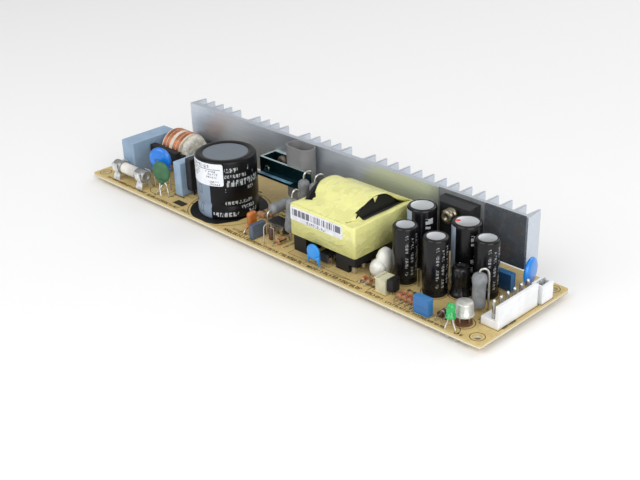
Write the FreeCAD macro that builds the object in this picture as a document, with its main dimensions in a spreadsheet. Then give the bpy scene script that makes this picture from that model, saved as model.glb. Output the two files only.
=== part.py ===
import FreeCAD, Part
import math
import os

import Sketcher

from FreeCAD import Placement, Rotation, Vector

# Open frame switching power supply: one circuit board with its parts on top, a finned
# heat sink along the back edge and solder joints below.
# Lengths are millimetres. In the layout functions x runs from the board's left end,
# y from its front edge and z from its top face. The finished frame has its origin under
# the middle of the board, at the lowest solder tips, with +X to the output end,
# +Y to the heat sink and +Z up.

DOC_NAME = "open_frame_power_supply"

DRIVING = {
    # circuit board
    "board_thickness": 1.6,
    "board_corner": 1.0,
    "solder_drop": 2.0,
    "solder_radius": 0.85,
    "fine_solder_radius": 0.6,
    "mount_inset": 4.0,
    "mount_hole_radius": 1.7,
    "lead_radius": 0.35,
    "lead_knee": 3.0,
    "pin_clearance": 0.05,
    "loop_stub": 0.6,
    "right_margin": 1.4,
    "back_margin": 0.6,
    # heat sink
    "sink_plate": 2.2,
    "sink_fin_reach": 6.2,
    "sink_tall": 20.0,
    "sink_lift": 6.4,
    "sink_left_gap": 1.1,
    "sink_right_inset": 12.5,
    "fin_root": 1.5,
    "fin_tip": 0.7,
    "end_fin_root": 2.2,
    "fin_run_gap": 12.9,
    "sink_pin_size": 1.4,
    "sink_pin_sink": 3.0,
    # input film capacitor
    "input_cap_inset": 11.3,
    "input_cap_front": 9.3,
    "input_cap_wide": 8.2,
    "input_cap_deep": 23.7,
    "input_cap_tall": 16.0,
    "case_edge": 0.35,
    # fuse and clips
    "fuse_centre_inset": 22.3,
    "fuse_front_gap": 2.8,
    "fuse_long": 21.8,
    "fuse_radius": 2.6,
    "fuse_glass_radius": 2.25,
    "fuse_cap_long": 5.8,
    "fuse_rise": 5.3,
    "clip_wide": 4.5,
    "clip_spacing": 16.4,
    "clip_sheet": 0.4,
    "clip_foot_tall": 0.9,
    # line choke
    "choke_gap": 0.9,
    "choke_long": 18.0,
    "choke_deep": 23.4,
    "choke_core_tall": 6.0,
    "choke_limb": 3.6,
    "choke_end_limb": 2.8,
    "choke_foot": 2.4,
    "choke_pin_in": 2.0,
    "adhesive_over": 0.8,
    "choke_axis": 10.5,
    "choke_flange_radius": 7.8,
    "choke_winding_radius": 7.2,
    "choke_tube_radius": 3.9,
    "choke_centre_limb": 3.2,
    "choke_flange": 0.8,
    "choke_middle": 2.6,
    "choke_sink_gap": 0.5,
    "choke_fit": 0.2,
    # disc parts at the input
    "varistor_radius": 5.2,
    "varistor_thick": 3.6,
    "varistor_rise": 13.8,
    "varistor_offset": 0.4,
    "varistor_back_gap": 6.5,
    "thermistor_radius": 4.6,
    "thermistor_thick": 2.4,
    "thermistor_rise": 10.1,
    "thermistor_gap": 0.2,
    "thermistor_offset": 4.2,
    "thermistor_lead_pitch": 3.4,
    "thermistor_foot_forward": 3.0,
    "varistor_lead_pitch": 7.5,
    "varistor_heading": 21.0,
    "thermistor_heading": 13.0,
    # second film capacitor and bridge rectifier
    "line_cap_gap": 3.2,
    "line_cap_wide": 4.6,
    "line_cap_deep": 13.0,
    "line_cap_tall": 15.0,
    "line_cap_front": 9.6,
    "bridge_gap": 0.3,
    "bridge_wide": 3.2,
    "bridge_deep": 20.0,
    "bridge_tall": 14.5,
    "bridge_lift": 2.5,
    "bridge_front": 12.3,
    "bridge_pitch": 5.08,
    "bridge_lead_radius": 0.45,
    # bulk capacitor
    "bulk_gap": 7.2,
    "bulk_radius": 12.5,
    "bulk_tall": 25.3,
    "bulk_front": 3.4,
    "bead_rise": 2.6,
    # switching transistor, sleeve and clamp
    "clamp_offset": 1.2,
    "clamp_wide": 29.7,
    "clamp_tall": 7.6,
    "clamp_rise": 10.5,
    "clamp_sheet": 1.0,
    "clamp_deep": 8.8,
    "clamp_flange": 2.0,
    "clamp_tab": 9.7,
    "clamp_front_gap": 2.6,
    "sleeve_offset": 12.9,
    "sleeve_wide": 13.8,
    "sleeve_wall": 0.55,
    "sleeve_tall": 22.3,
    "sleeve_lift": 4.0,
    "sleeve_fit": 0.1,
    "transistor_wide": 10.2,
    "transistor_deep": 4.5,
    "transistor_tall": 15.5,
    "transistor_plate": 1.3,
    "transistor_body_tall": 9.2,
    "transistor_lift": 7.8,
    "screw_head_radius": 2.7,
    "screw_head_tall": 1.9,
    "screw_shank_radius": 1.45,
    "screw_hole_clearance": 0.15,
    "tap_over": 0.5,
    "clamp_screw_offset": 6.2,
    "clamp_screw_rise": 14.8,
    # small parts between the bulk capacitor and the transformer
    "drop_cap_gap": 9.5,
    "drop_cap_thick": 2.0,
    "drop_cap_wide": 4.2,
    "drop_cap_tall": 7.2,
    "drop_cap_lift": 0.8,
    "drop_cap_front": 6.5,
    "drop_cap_foot_forward": 2.8,
    "drop_cap_edge": 0.7,
    "control_cap_gap": 3.9,
    "control_cap_thick": 2.2,
    "control_cap_deep": 7.1,
    "control_cap_tall": 6.0,
    "control_cap_front": 2.1,
    "chip_gap": 2.9,
    "chip_long": 9.8,
    "chip_wide": 6.4,
    "chip_thick": 3.3,
    "chip_lift": 0.8,
    "chip_front": 12.3,
    "chip_pin_pitch": 2.54,
    "chip_pin_wide": 0.9,
    "chip_pin_sheet": 0.3,
    "chip_pin_out": 0.5,
    "snubber_radius": 2.5,
    "snubber_long": 14.0,
    "snubber_lift": 3.6,
    "snubber_loop": 2.2,
    "snubber_gap": 4.5,
    "snubber_front": 12.3,
    "snubber_heading": 70.0,
    "snubber_rear_back": 17.0,
    "snubber_rear_left": 9.3,
    "snubber_stagger": -0.8,
    "snubber_middle_left": 3.7,
    "startup_radius": 2.3,
    "startup_long": 11.5,
    "startup_gap": 2.4,
    "startup_forward": 1.5,
    "startup_span": 15.3,
    "startup_rise": 9.0,
    "small_body_radius": 1.15,
    "small_body_long": 3.8,
    "small_body_lift": 1.3,
    "small_lead_radius": 0.28,
    "small_pitch": 2.4,
    "small_span": 8.4,
    "loop_diode_left": 0.2,
    "loop_diode_front": 6.2,
    "loop_diode_long": 5.0,
    "loop_diode_lift": 1.0,
    "loop_diode_loop": 1.65,
    "loop_diode_heading": 256.0,
    "sense_gap": 0.7,
    "sense_back": 2.7,
    "sense_pitch": 2.8,
    "sense_shift": 1.7,
    "brown_left": 1.2,
    "brown_front": 3.6,
    # transformer
    "transformer_gap": 4.9,
    "transformer_long": 33.0,
    "transformer_deep": 32.4,
    "transformer_front": 5.0,
    "transformer_sink_gap": 4.4,
    "belt_low": 8.3,
    "belt_high": 20.5,
    "belt_tape": 0.35,
    "core_limb": 2.1,
    "core_post": 4.8,
    "winding_axis": 13.15,
    "bobbin_wall": 0.9,
    "arch_high": 27.0,
    "arch_flange": 1.4,
    "arch_left_inset": 2.7,
    "arch_right_inset": 4.4,
    "flange_recess": 0.6,
    "rail_wide": 6.4,
    "rail_tall": 6.2,
    "rail_deep": 27.0,
    "rail_out": 1.1,
    "winding_corner": 3.0,
    "winding_foot": 2.0,
    "pin_shelf": 3.2,
    "shelf_tall": 3.0,
    "transformer_pin_radius": 0.45,
    "transformer_pin_pitch": 5.0,
    "wrap_radius": 0.95,
    # parts under the front of the transformer
    "safety_cap_offset": 13.8,
    "safety_cap_front": 3.2,
    "safety_cap_radius": 3.2,
    "safety_cap_thick": 1.8,
    "safety_cap_rise": 5.6,
    "safety_cap_pitch": 6.6,
    "opto_rail_gap": 2.9,
    "opto_wide": 5.0,
    "opto_deep": 6.4,
    "opto_thick": 3.4,
    "opto_front": 6.4,
    # secondary side
    "bead_gap": 0.4,
    "bead_wide": 6.4,
    "bead_deep": 10.0,
    "bead_tall": 10.2,
    "bead_front": 10.6,
    "bead_round": 1.6,
    "coupler_gap": 10.2,
    "coupler_wide": 4.5,
    "coupler_deep": 5.0,
    "coupler_tall": 5.6,
    "coupler_plate": 0.6,
    "coupler_lip": 0.3,
    "coupler_front": 4.5,
    "regulator_back": 0.5,
    "regulator_gap": 0.4,
    "regulator_wide": 2.6,
    "regulator_deep": 4.8,
    "regulator_tall": 4.6,
    "regulator_lift": 1.4,
    "output_cap_radius": 4.55,
    "output_cap_tall": 22.0,
    "output_cap_front": 13.0,
    "large_cap_radius": 5.45,
    "large_cap_tall": 23.7,
    "sleeve_bead": 0.45,
    "rolled_edge": 1.3,
    "bulk_rolled_edge": 3.3,
    "top_sunk": 0.35,
    "first_cap_gap": 1.2,
    "second_cap_gap": 4.65,
    "large_first_gap": 3.5,
    "large_second_gap": 9.4,
    "output_choke_gap": 0.5,
    "output_choke_bearing": 31.7,
    "output_choke_radius": 3.8,
    "output_choke_tall": 6.3,
    "output_choke_top_radius": 3.3,
    "output_choke_total": 11.4,
    "last_cap_gap": 0.3,
    "last_cap_bearing": 43.1,
    "divider_gap": 3.3,
    "divider_front": 2.8,
    "film_cap_gap": 1.8,
    "film_cap_long": 6.6,
    "film_cap_thick": 2.8,
    "film_cap_tall": 6.6,
    "film_cap_front": 2.1,
    "rear_film_offset": -0.9,
    "rear_film_back": 4.2,
    "diode_gap": 2.6,
    "load_radius": 2.65,
    "load_long": 12.4,
    "load_lift": 1.2,
    "load_gap": 4.9,
    "load_heading": 45.0,
    "load_front": 14.75,
    "load_loop": 1.75,
    "led_gap": 9.7,
    "led_front": 1.9,
    "led_radius": 1.5,
    "led_flange_radius": 1.85,
    "led_flange_tall": 1.0,
    "led_long": 5.4,
    "led_lift": 4.4,
    "led_pitch": 2.0,
    "led_foot_out": 1.6,
    "led_knee": 2.0,
    "can_gap": 10.6,
    "can_front": 7.9,
    "can_radius": 3.1,
    "can_tall": 5.0,
    "can_flange_radius": 3.45,
    "can_flange": 0.45,
    "can_lift": 3.3,
    "can_lead_circle": 1.27,
    "spacer_radius": 3.0,
    "spacer_tall": 0.6,
    # connectors
    "header_gap": 2.8,
    "header_wide": 7.2,
    "header_front": 11.5,
    "header_base": 2.8,
    "header_wall": 1.4,
    "header_tall": 8.5,
    "header_end_space": 1.7,
    "header_pin_pitch": 3.76,
    "header_pin_radius": 0.65,
    "header_pin_tall": 9.8,
    "header_pin_inset": 3.95,
    "auxiliary_gap": 1.2,
    "auxiliary_wide": 4.6,
    "auxiliary_deep": 6.4,
    "auxiliary_tall": 6.8,
    "auxiliary_wall": 0.9,
    "auxiliary_floor": 2.2,
    "auxiliary_pitch": 2.5,
    "auxiliary_pin_size": 0.64,
    "auxiliary_pin_tall": 7.9,
    "auxiliary_right": 0.5,
    # output rectifier on the heat sink
    "pad_thick": 0.3,
    "pad_wide": 20.6,
    "pad_tall": 21.4,
    "pad_over": 0.4,
    "pad_right_inset": 18.4,
    "rectifier_wide": 15.7,
    "rectifier_deep": 4.8,
    "rectifier_tall": 20.4,
    "rectifier_below_pad": 1.4,
    "rectifier_pad_inset": 1.5,
    "rectifier_bevel": 1.2,
    "rectifier_screw_down": 4.0,
    "rectifier_head_tall": 5.0,
    "rectifier_lead_pitch": 5.45,
    "rectifier_lead_wide": 1.2,
    "rectifier_lead_sheet": 0.6,
    "sheet_thick": 0.3,
    "sheet_gap": 0.4,
    "sheet_end_gap": 0.7,
    "sheet_tall": 20.4,
    "disc_cap_radius": 5.3,
    "disc_cap_thick": 2.4,
    "disc_cap_rise": 8.1,
    "disc_cap_heading": 104.0,
    "disc_cap_sink_gap": 3.6,
    "disc_cap_back": 11.2,
    "disc_cap_pitch": 5.0,
}

FIN_COUNTS = (5, 4, 5, 14)
HEADER_PIN_COUNT = 6
AUXILIARY_PIN_COUNT = 2
CHIP_PIN_COUNT = 4
OPTO_PIN_COUNT = 2
DIVIDER_COUNT = 4
TRANSFORMER_PIN_COUNT = 6
SINK_PIN_SHARES = (0.05, 0.55, 0.93)
CLIP_ARC_DEGREES = (-50, 40)
CLIP_ARC_COUNT = 6
CLIP_FOOT_SHARE = 0.75
SOLDER_SIDE_COUNT = 6
LEAD_SIDE_COUNT = 6
PIN_SIDE_COUNT = 8
SPOOL_SIDE_COUNT = 24
LOOP_COUNT = 6
SMALL_BODY_SIDE_COUNT = 12
EDGE_SHARE = 0.55
LEAD_START_SHARE = 0.6
PIN_SHARE = 0.4
ROLL_SHARE = 0.35
SCREW_REACH_SHARE = 0.9
SLOT_HALF_SHARE = 0.35
SLOT_DEPTH_SHARE = 0.5
BEVEL_SHARE = 0.28
END_SHARE = 0.3
BURIED_SHARE = 0.1
SHELF_PIN_SHARE = 0.6
WRAP_SHARES = (0.3, 0.85)
HUMP_START_DEGREES = 48
HUMP_STEP_DEGREES = 12
DOME_STEP_DEGREES = 18

UPRIGHT = Rotation(Vector(1, 0, 0), 90)
ALONG_X = Rotation(Vector(0, 1, 0), Vector(0, 0, 1), Vector(1, 0, 0), "XYZ")
LEVEL = Rotation()
UP = Vector(0, 0, 1)

doc = FreeCAD.newDocument(DOC_NAME)


def fill_sheet(name, values):
    """Write named numbers into a spreadsheet, one a row, each with its alias."""
    sheet = doc.addObject("Spreadsheet::Sheet", name)
    for row, (alias, value) in enumerate(values.items(), start=1):
        sheet.set(f"A{row}", alias)
        sheet.set(f"B{row}", repr(float(value)))
        sheet.setAlias(f"B{row}", alias)
    doc.recompute()
    return sheet


cells = fill_sheet("cells", DRIVING)


def size(alias):
    """Return a driving dimension as the sheet holds it."""
    return float(cells.get(alias))


def lay_out():
    """Work out where every part stands from the driving dimensions and gaps.

    Each part is placed from the part beside it, so the row closes up or opens when one
    of them changes. The deepest part sets how far back the heat sink stands.
    """
    p = {}
    p["sink_front"] = max(
        size("bulk_front") + 2 * size("bulk_radius") + size("clamp_front_gap")
        + size("clamp_flange") + size("clamp_deep"),
        size("transformer_front") + size("transformer_deep") + size("transformer_sink_gap"),
        size("input_cap_front") + size("input_cap_deep") + size("back_margin"),
    )
    p["board_width"] = (p["sink_front"] + size("sink_plate") + size("sink_fin_reach")
                        + size("back_margin"))
    # input side, left to right
    p["input_cap_left"] = size("input_cap_inset")
    p["input_cap_right"] = p["input_cap_left"] + size("input_cap_wide")
    p["sink_left"] = p["input_cap_right"] + size("sink_left_gap")
    p["fuse_x"] = size("fuse_centre_inset")
    p["fuse_y"] = size("fuse_front_gap") + size("fuse_radius")
    p["choke_left"] = p["input_cap_right"] + size("choke_gap")
    p["choke_right"] = p["choke_left"] + size("choke_long")
    p["choke_back"] = p["sink_front"] - size("choke_sink_gap")
    p["choke_front"] = p["choke_back"] - size("choke_deep")
    p["choke_y"] = p["choke_front"] + size("choke_deep") / 2
    p["varistor_x"] = p["choke_right"] + size("varistor_offset")
    p["varistor_y"] = p["choke_front"] - size("varistor_back_gap") - size("varistor_thick") / 2
    p["thermistor_x"] = p["varistor_x"] + size("thermistor_offset")
    p["thermistor_y"] = (p["varistor_y"] - size("varistor_thick") / 2 - size("thermistor_gap")
                         - size("thermistor_thick") / 2)
    p["line_cap_left"] = p["varistor_x"] + size("varistor_radius") + size("line_cap_gap")
    p["line_cap_right"] = p["line_cap_left"] + size("line_cap_wide")
    p["bridge_left"] = p["line_cap_right"] + size("bridge_gap")
    p["bridge_right"] = p["bridge_left"] + size("bridge_wide")
    # bulk capacitor and the clamp behind it
    p["bulk_x"] = p["bridge_right"] + size("bulk_gap") + size("bulk_radius")
    p["bulk_y"] = size("bulk_front") + size("bulk_radius")
    p["bulk_right"] = p["bulk_x"] + size("bulk_radius")
    p["clamp_left"] = p["bulk_x"] + size("clamp_offset")
    p["sleeve_left"] = p["clamp_left"] + size("sleeve_offset")
    p["sleeve_x"] = p["sleeve_left"] + size("sleeve_wide") / 2
    p["sleeve_deep"] = size("clamp_deep") - size("clamp_sheet") - 2 * size("sleeve_fit")
    p["sleeve_y"] = p["sink_front"] - size("sleeve_fit") - p["sleeve_deep"] / 2
    p["clamp_screw_x"] = p["clamp_left"] + size("clamp_screw_offset")
    # control parts
    p["drop_cap_left"] = p["bulk_right"] + size("drop_cap_gap")
    p["drop_cap_right"] = p["drop_cap_left"] + size("drop_cap_thick")
    p["control_cap_left"] = p["drop_cap_right"] + size("control_cap_gap")
    p["control_cap_right"] = p["control_cap_left"] + size("control_cap_thick")
    p["chip_left"] = p["drop_cap_right"] + size("chip_gap")
    p["chip_right"] = p["chip_left"] + size("chip_long")
    p["snubber_x"] = p["chip_right"] + size("snubber_gap")
    p["transformer_left"] = p["snubber_x"] + size("snubber_radius") + size("transformer_gap")
    p["transformer_right"] = p["transformer_left"] + size("transformer_long")
    p["transformer_y"] = size("transformer_front") + size("transformer_deep") / 2
    p["shelf_left"] = p["transformer_right"] - size("arch_right_inset") - size("arch_flange")
    p["opto_left"] = (p["shelf_left"] - size("rail_wide") - size("opto_rail_gap")
                      - size("opto_wide"))
    # output side
    p["bead_left"] = p["transformer_right"] + size("bead_gap")
    p["coupler_left"] = p["transformer_right"] + size("coupler_gap")
    p["regulator_left"] = p["coupler_left"] + size("coupler_wide") + size("regulator_gap")
    small = size("output_cap_radius")
    large = size("large_cap_radius")
    p["rectifier_face"] = p["sink_front"] - size("pad_thick") - size("rectifier_deep")
    p["first_x"] = p["bead_left"] + size("bead_wide") + size("first_cap_gap") + small
    p["front_row_y"] = size("output_cap_front") + small
    p["second_x"] = p["first_x"] + 2 * small + size("second_cap_gap")
    p["large_row_y"] = p["rectifier_face"] - size("case_edge") - large
    p["large_first_x"] = p["transformer_right"] + size("large_first_gap") + large
    p["large_second_x"] = p["large_first_x"] + 2 * large + size("large_second_gap")
    reach = small + size("output_choke_radius") + size("output_choke_gap")
    bearing = math.radians(size("output_choke_bearing"))
    p["output_choke_x"] = p["second_x"] + reach * math.cos(bearing)
    p["output_choke_y"] = p["front_row_y"] + reach * math.sin(bearing)
    reach = small + size("output_choke_radius") + size("last_cap_gap")
    bearing = math.radians(size("last_cap_bearing"))
    p["last_x"] = p["output_choke_x"] + reach * math.cos(bearing)
    p["last_y"] = p["output_choke_y"] + reach * math.sin(bearing)
    p["divider_x"] = p["first_x"] + small + size("divider_gap")
    p["divider_end"] = p["divider_x"] + (DIVIDER_COUNT - 1) * size("small_pitch")
    p["film_cap_left"] = p["divider_end"] + size("film_cap_gap")
    p["film_cap_right"] = p["film_cap_left"] + size("film_cap_long")
    p["load_x"] = (p["output_choke_x"] + size("output_choke_radius") + size("load_gap")
                   + size("load_radius"))
    p["load_y"] = size("load_front") + size("load_radius")
    p["led_x"] = p["film_cap_right"] + size("led_gap")
    p["can_x"] = p["film_cap_right"] + size("can_gap")
    p["header_left"] = p["load_x"] + size("load_radius") + size("header_gap")
    p["header_right"] = p["header_left"] + size("header_wide")
    p["header_deep"] = (2 * size("header_end_space")
                        + (HEADER_PIN_COUNT - 1) * size("header_pin_pitch"))
    p["board_length"] = p["header_right"] + size("right_margin")
    p["auxiliary_front"] = size("header_front") + p["header_deep"] + size("auxiliary_gap")
    p["auxiliary_left"] = (p["board_length"] - size("auxiliary_right")
                           - size("auxiliary_wide"))
    # heat sink and what is fixed to its right half
    p["sink_right"] = p["board_length"] - size("sink_right_inset")
    p["sink_length"] = p["sink_right"] - p["sink_left"]
    p["pad_right"] = p["sink_right"] - size("pad_right_inset")
    p["pad_top"] = size("sink_lift") + size("sink_tall") + size("pad_over")
    p["rectifier_right"] = p["pad_right"] - size("rectifier_pad_inset")
    p["rectifier_x"] = p["rectifier_right"] - size("rectifier_wide") / 2
    p["rectifier_top"] = p["pad_top"] - size("rectifier_below_pad")
    p["rectifier_bottom"] = p["rectifier_top"] - size("rectifier_tall")
    p["rectifier_screw_z"] = p["rectifier_top"] - size("rectifier_screw_down")
    p["sheet_wide"] = size("pad_right_inset") - size("sheet_gap") - size("sheet_end_gap")
    p["rear_film_left"] = p["last_x"] + size("rear_film_offset")
    p["rear_film_back"] = p["sink_front"] - size("rear_film_back")
    p["disc_cap_x"] = p["sink_right"] + size("disc_cap_sink_gap")
    p["disc_cap_y"] = p["board_width"] - size("disc_cap_back")
    return p


places = lay_out()
fill_sheet("layout", places)

TOP = size("solder_drop") + size("board_thickness")
HALF_LENGTH = places["board_length"] / 2
HALF_WIDTH = places["board_width"] / 2
SOLDER_POINTS = []


def at(x, y, z):
    """Turn a place on the board into the finished frame."""
    return Vector(x - HALF_LENGTH, y - HALF_WIDTH, TOP + z)


def solder(x, y):
    """Note that a lead ends in a solder joint below this place on the board."""
    SOLDER_POINTS.append((x, y))


def bind(thing, **sizes):
    """Bind properties of a document object to expressions on the sheets."""
    for name, expression in sizes.items():
        thing.setExpression(name, expression)


def box(name, sizes, corner):
    """Make a box whose three sizes are sheet expressions."""
    thing = doc.addObject("Part::Box", name)
    bind(thing, Length=sizes[0], Width=sizes[1], Height=sizes[2])
    thing.Placement = Placement(corner, LEVEL)
    return thing


def rod(name, radius, start, end):
    """Make a round rod between two points of the finished frame."""
    thing = doc.addObject("Part::Cylinder", name)
    bind(thing, Radius=radius)
    run = end - start
    thing.Height = run.Length
    thing.Placement = Placement(start, Rotation(UP, run))
    return thing


def prism(name, sides, radius, start, end):
    """Make a straight piece of stiff lead or a small round body as a many sided bar."""
    thing = doc.addObject("Part::Prism", name)
    thing.Polygon = sides
    bind(thing, Circumradius=radius)
    run = end - start
    thing.Height = run.Length
    thing.Placement = Placement(start, Rotation(UP, run))
    return thing


def wire(name, radius, points):
    """Make a bent lead as bars that run through the points in order."""
    pairs = zip(points, points[1:])
    return [prism(f"{name}_{i}", LEAD_SIDE_COUNT, radius, a, b) for i, (a, b) in enumerate(pairs)]


def half_ring(radius, centre, heading):
    """Return the points of a lead that loops over, in the upright plane of heading."""
    turns = [math.pi * i / LOOP_COUNT for i in range(LOOP_COUNT + 1)]
    return [centre - heading * radius * math.cos(a) + UP * radius * math.sin(a) for a in turns]


def edge_loop(points):
    """Return the line segments that close an outline through the points."""
    ring = list(points) + [points[0]]
    return [Part.LineSegment(Vector(*a, 0), Vector(*b, 0)) for a, b in zip(ring, ring[1:])]


def sketched_body(label, edges):
    """Start a body with one sketch on its XY plane that holds the edges."""
    body = doc.addObject("PartDesign::Body", label)
    body.Label = label
    sketch = body.newObject("Sketcher::SketchObject", f"{label}_sketch")
    plane = next(f for f in body.Origin.OriginFeatures if f.Role == "XY_Plane")
    sketch.AttachmentSupport = [(plane, "")]
    sketch.MapMode = "FlatFace"
    for edge in edges:
        sketch.addGeometry(edge, False)
    sketch.Visibility = False
    return body, sketch


def extrude(label, edges, length, placement):
    """Make a body by padding an outline along its own Z."""
    body, sketch = sketched_body(label, edges)
    pad = body.newObject("PartDesign::Pad", f"{label}_pad")
    pad.Profile = sketch
    bind(pad, Length=length)
    body.Placement = placement
    return body


def turn(label, points, placement, about="V_Axis"):
    """Make a body by turning a closed outline of (radius, height) points."""
    body, sketch = sketched_body(label, edge_loop(points))
    turned = body.newObject("PartDesign::Revolution", f"{label}_turned")
    turned.Profile = sketch
    turned.ReferenceAxis = (sketch, [about])
    turned.Angle = 360
    body.Placement = placement
    return body


def chamfered(name, thing, width, edges=None):
    """Break the edges of a solid; all of them unless a list is given."""
    doc.recompute()
    broken = doc.addObject("Part::Chamfer", name)
    broken.Base = thing
    count = len(thing.Shape.Edges)
    chosen = edges if edges else range(1, count + 1)
    broken.Edges = [(number, width, width) for number in chosen]
    return broken


def joined(label, things):
    """Fuse the solids of one piece."""
    piece = doc.addObject("Part::MultiFuse", label)
    piece.Shapes = things
    piece.Label = label
    return piece


def grouped(label, things):
    """Keep separate solids of one kind together as one node."""
    piece = doc.addObject("Part::Compound", label)
    piece.Links = things
    piece.Label = label
    return piece


def less(label, base, tools):
    """Cut tools from a base."""
    cutter = tools[0]
    if len(tools) > 1:
        cutter = doc.addObject("Part::MultiFuse", f"{label}_tools")
        cutter.Shapes = tools
    piece = doc.addObject("Part::Cut", label)
    piece.Base = base
    piece.Tool = cutter
    piece.Label = label
    return piece


def named(thing, label):
    """Give a single primitive its node name."""
    thing.Label = label
    return thing


def make_board():
    """Board with rounded corners and a mounting hole near each corner."""
    body = doc.addObject("PartDesign::Body", "circuit_board")
    body.Label = "circuit_board"
    sketch = body.newObject("Sketcher::SketchObject", "board_outline")
    plane = next(f for f in body.Origin.OriginFeatures if f.Role == "XY_Plane")
    sketch.AttachmentSupport = [(plane, "")]
    sketch.MapMode = "FlatFace"
    x = HALF_LENGTH
    y = HALF_WIDTH
    corners = [(-x, -y), (x, -y), (x, y), (-x, y)]
    for edge in edge_loop(corners):
        sketch.addGeometry(edge, False)
    for i in range(4):
        sketch.addConstraint(Sketcher.Constraint("Coincident", i, 2, (i + 1) % 4, 1))
    for i in (0, 2):
        sketch.addConstraint(Sketcher.Constraint("Horizontal", i))
    for i in (1, 3):
        sketch.addConstraint(Sketcher.Constraint("Vertical", i))
    sketch.addConstraint(Sketcher.Constraint("Symmetric", 0, 1, 2, 1, -1, 1))
    long_side = sketch.addConstraint(Sketcher.Constraint("DistanceX", 0, 1, 0, 2, 2 * x))
    short_side = sketch.addConstraint(Sketcher.Constraint("DistanceY", 1, 1, 1, 2, 2 * y))
    sketch.setExpression(f"Constraints[{long_side}]", "layout.board_length")
    sketch.setExpression(f"Constraints[{short_side}]", "layout.board_width")
    pad = body.newObject("PartDesign::Pad", "board_pad")
    pad.Profile = sketch
    bind(pad, Length="cells.board_thickness")
    doc.recompute()
    uprights = [f"Edge{i}" for i, e in enumerate(pad.Shape.Edges, start=1)
                if abs(e.Vertexes[0].Z - e.Vertexes[-1].Z) > size("board_thickness") / 2]
    rounding = body.newObject("PartDesign::Fillet", "board_corners")
    rounding.Base = (pad, uprights)
    bind(rounding, Radius="cells.board_corner")
    holes = body.newObject("Sketcher::SketchObject", "mounting_holes")
    holes.AttachmentSupport = [(plane, "")]
    holes.MapMode = "FlatFace"
    inset = size("mount_inset")
    for sx, sy in ((-1, -1), (1, -1), (1, 1), (-1, 1)):
        centre = Vector(sx * (x - inset), sy * (y - inset), 0)
        ring = holes.addGeometry(Part.Circle(centre, UP, size("mount_hole_radius")), False)
        width = holes.addConstraint(Sketcher.Constraint("Radius", ring, size("mount_hole_radius")))
        holes.setExpression(f"Constraints[{width}]", "cells.mount_hole_radius")
    drilled = body.newObject("PartDesign::Pocket", "board_drilled")
    drilled.Profile = holes
    drilled.Type = "ThroughAll"
    drilled.Midplane = True
    body.Tip = drilled
    body.Placement = Placement(Vector(0, 0, size("solder_drop")), LEVEL)
    return body


def fin_centres():
    """Return each fin's middle along the sink and its root width."""
    ends = size("end_fin_root")
    pitches = sum(run - 1 for run in FIN_COUNTS)
    gaps = (len(FIN_COUNTS) - 1) * size("fin_run_gap")
    pitch = (places["sink_length"] - ends - gaps) / pitches
    centres = []
    x = ends / 2
    for run in FIN_COUNTS:
        for i in range(run):
            outer = i in (0, run - 1)
            centres.append((x, ends if outer else size("fin_root")))
            x += pitch
        x += size("fin_run_gap") - pitch
    return centres


def make_heatsink():
    """Extruded sink: a flat plate with runs of tapered fins behind it, and its pins."""
    plate = size("sink_plate")
    tip_y = plate + size("sink_fin_reach")
    tip = size("fin_tip") / 2
    length = places["sink_length"]
    outline = [(0, 0), (length, 0)]
    for x, root in reversed(fin_centres()):
        outline += [(x + root / 2, plate), (x + tip, tip_y), (x - tip, tip_y), (x - root / 2, plate)]
    clean = [outline[0]]
    for point in outline[1:]:
        if math.dist(point, clean[-1]) > 1e-6:
            clean.append(point)
    corner = at(places["sink_left"], places["sink_front"], size("sink_lift"))
    sink = extrude("heatsink_extrusion", edge_loop(clean), "cells.sink_tall",
                   Placement(corner, LEVEL))
    pins = []
    holes = []
    for i, share in enumerate(SINK_PIN_SHARES):
        x = places["sink_left"] + share * length
        y = places["sink_front"] + plate / 2
        side = size("sink_pin_size")
        low = at(x - side / 2, y - side / 2, 0)
        pins.append(box(f"sink_pin_{i}", ("cells.sink_pin_size", "cells.sink_pin_size",
                                          "cells.sink_lift + cells.sink_pin_sink"), low))
        hole = box(f"sink_slot_{i}", ("cells.sink_pin_size", "cells.sink_pin_size",
                                      "cells.sink_pin_sink"), low + UP * size("sink_lift"))
        holes.append(hole)
        solder(x, y)
    for name, x, z in (("clamp", places["clamp_screw_x"], size("clamp_screw_rise")),
                       ("rectifier", places["rectifier_x"], places["rectifier_screw_z"])):
        start = at(x, places["sink_front"] - size("tap_over"), z)
        end = start + Vector(0, plate + 2 * size("tap_over"), 0)
        holes.append(rod(f"{name}_tapped_hole",
                         "cells.screw_shank_radius + cells.screw_hole_clearance", start, end))
    less("heatsink", sink, holes)
    grouped("heatsink_pins", pins)


def make_input_parts():
    """Input film capacitor, fuse and its two clips."""
    case = box("input_case", ("cells.input_cap_wide", "cells.input_cap_deep", "cells.input_cap_tall"),
               at(places["input_cap_left"], size("input_cap_front"), 0))
    named(chamfered("input_film_capacitor", case, size("case_edge")), "input_film_capacitor")
    middle = places["input_cap_left"] + size("input_cap_wide") / 2
    for share in (0.1, 0.9):
        solder(middle, size("input_cap_front") + share * size("input_cap_deep"))
    half = size("fuse_long") / 2
    cap = size("fuse_radius")
    glass = size("fuse_glass_radius")
    inner = half - size("fuse_cap_long")
    profile = [(-half, 0), (-half, cap - 0.5), (-half + 0.5, cap), (-inner, cap), (-inner, glass),
               (inner, glass), (inner, cap), (half - 0.5, cap), (half, cap - 0.5), (half, 0)]
    turn("fuse", profile, Placement(at(places["fuse_x"], places["fuse_y"], size("fuse_rise")), LEVEL),
         about="H_Axis")
    clips = [make_clip(i, places["fuse_x"] + side * size("clip_spacing") / 2)
             for i, side in enumerate((-1, 1))]
    grouped("fuse_clips", clips)


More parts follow.
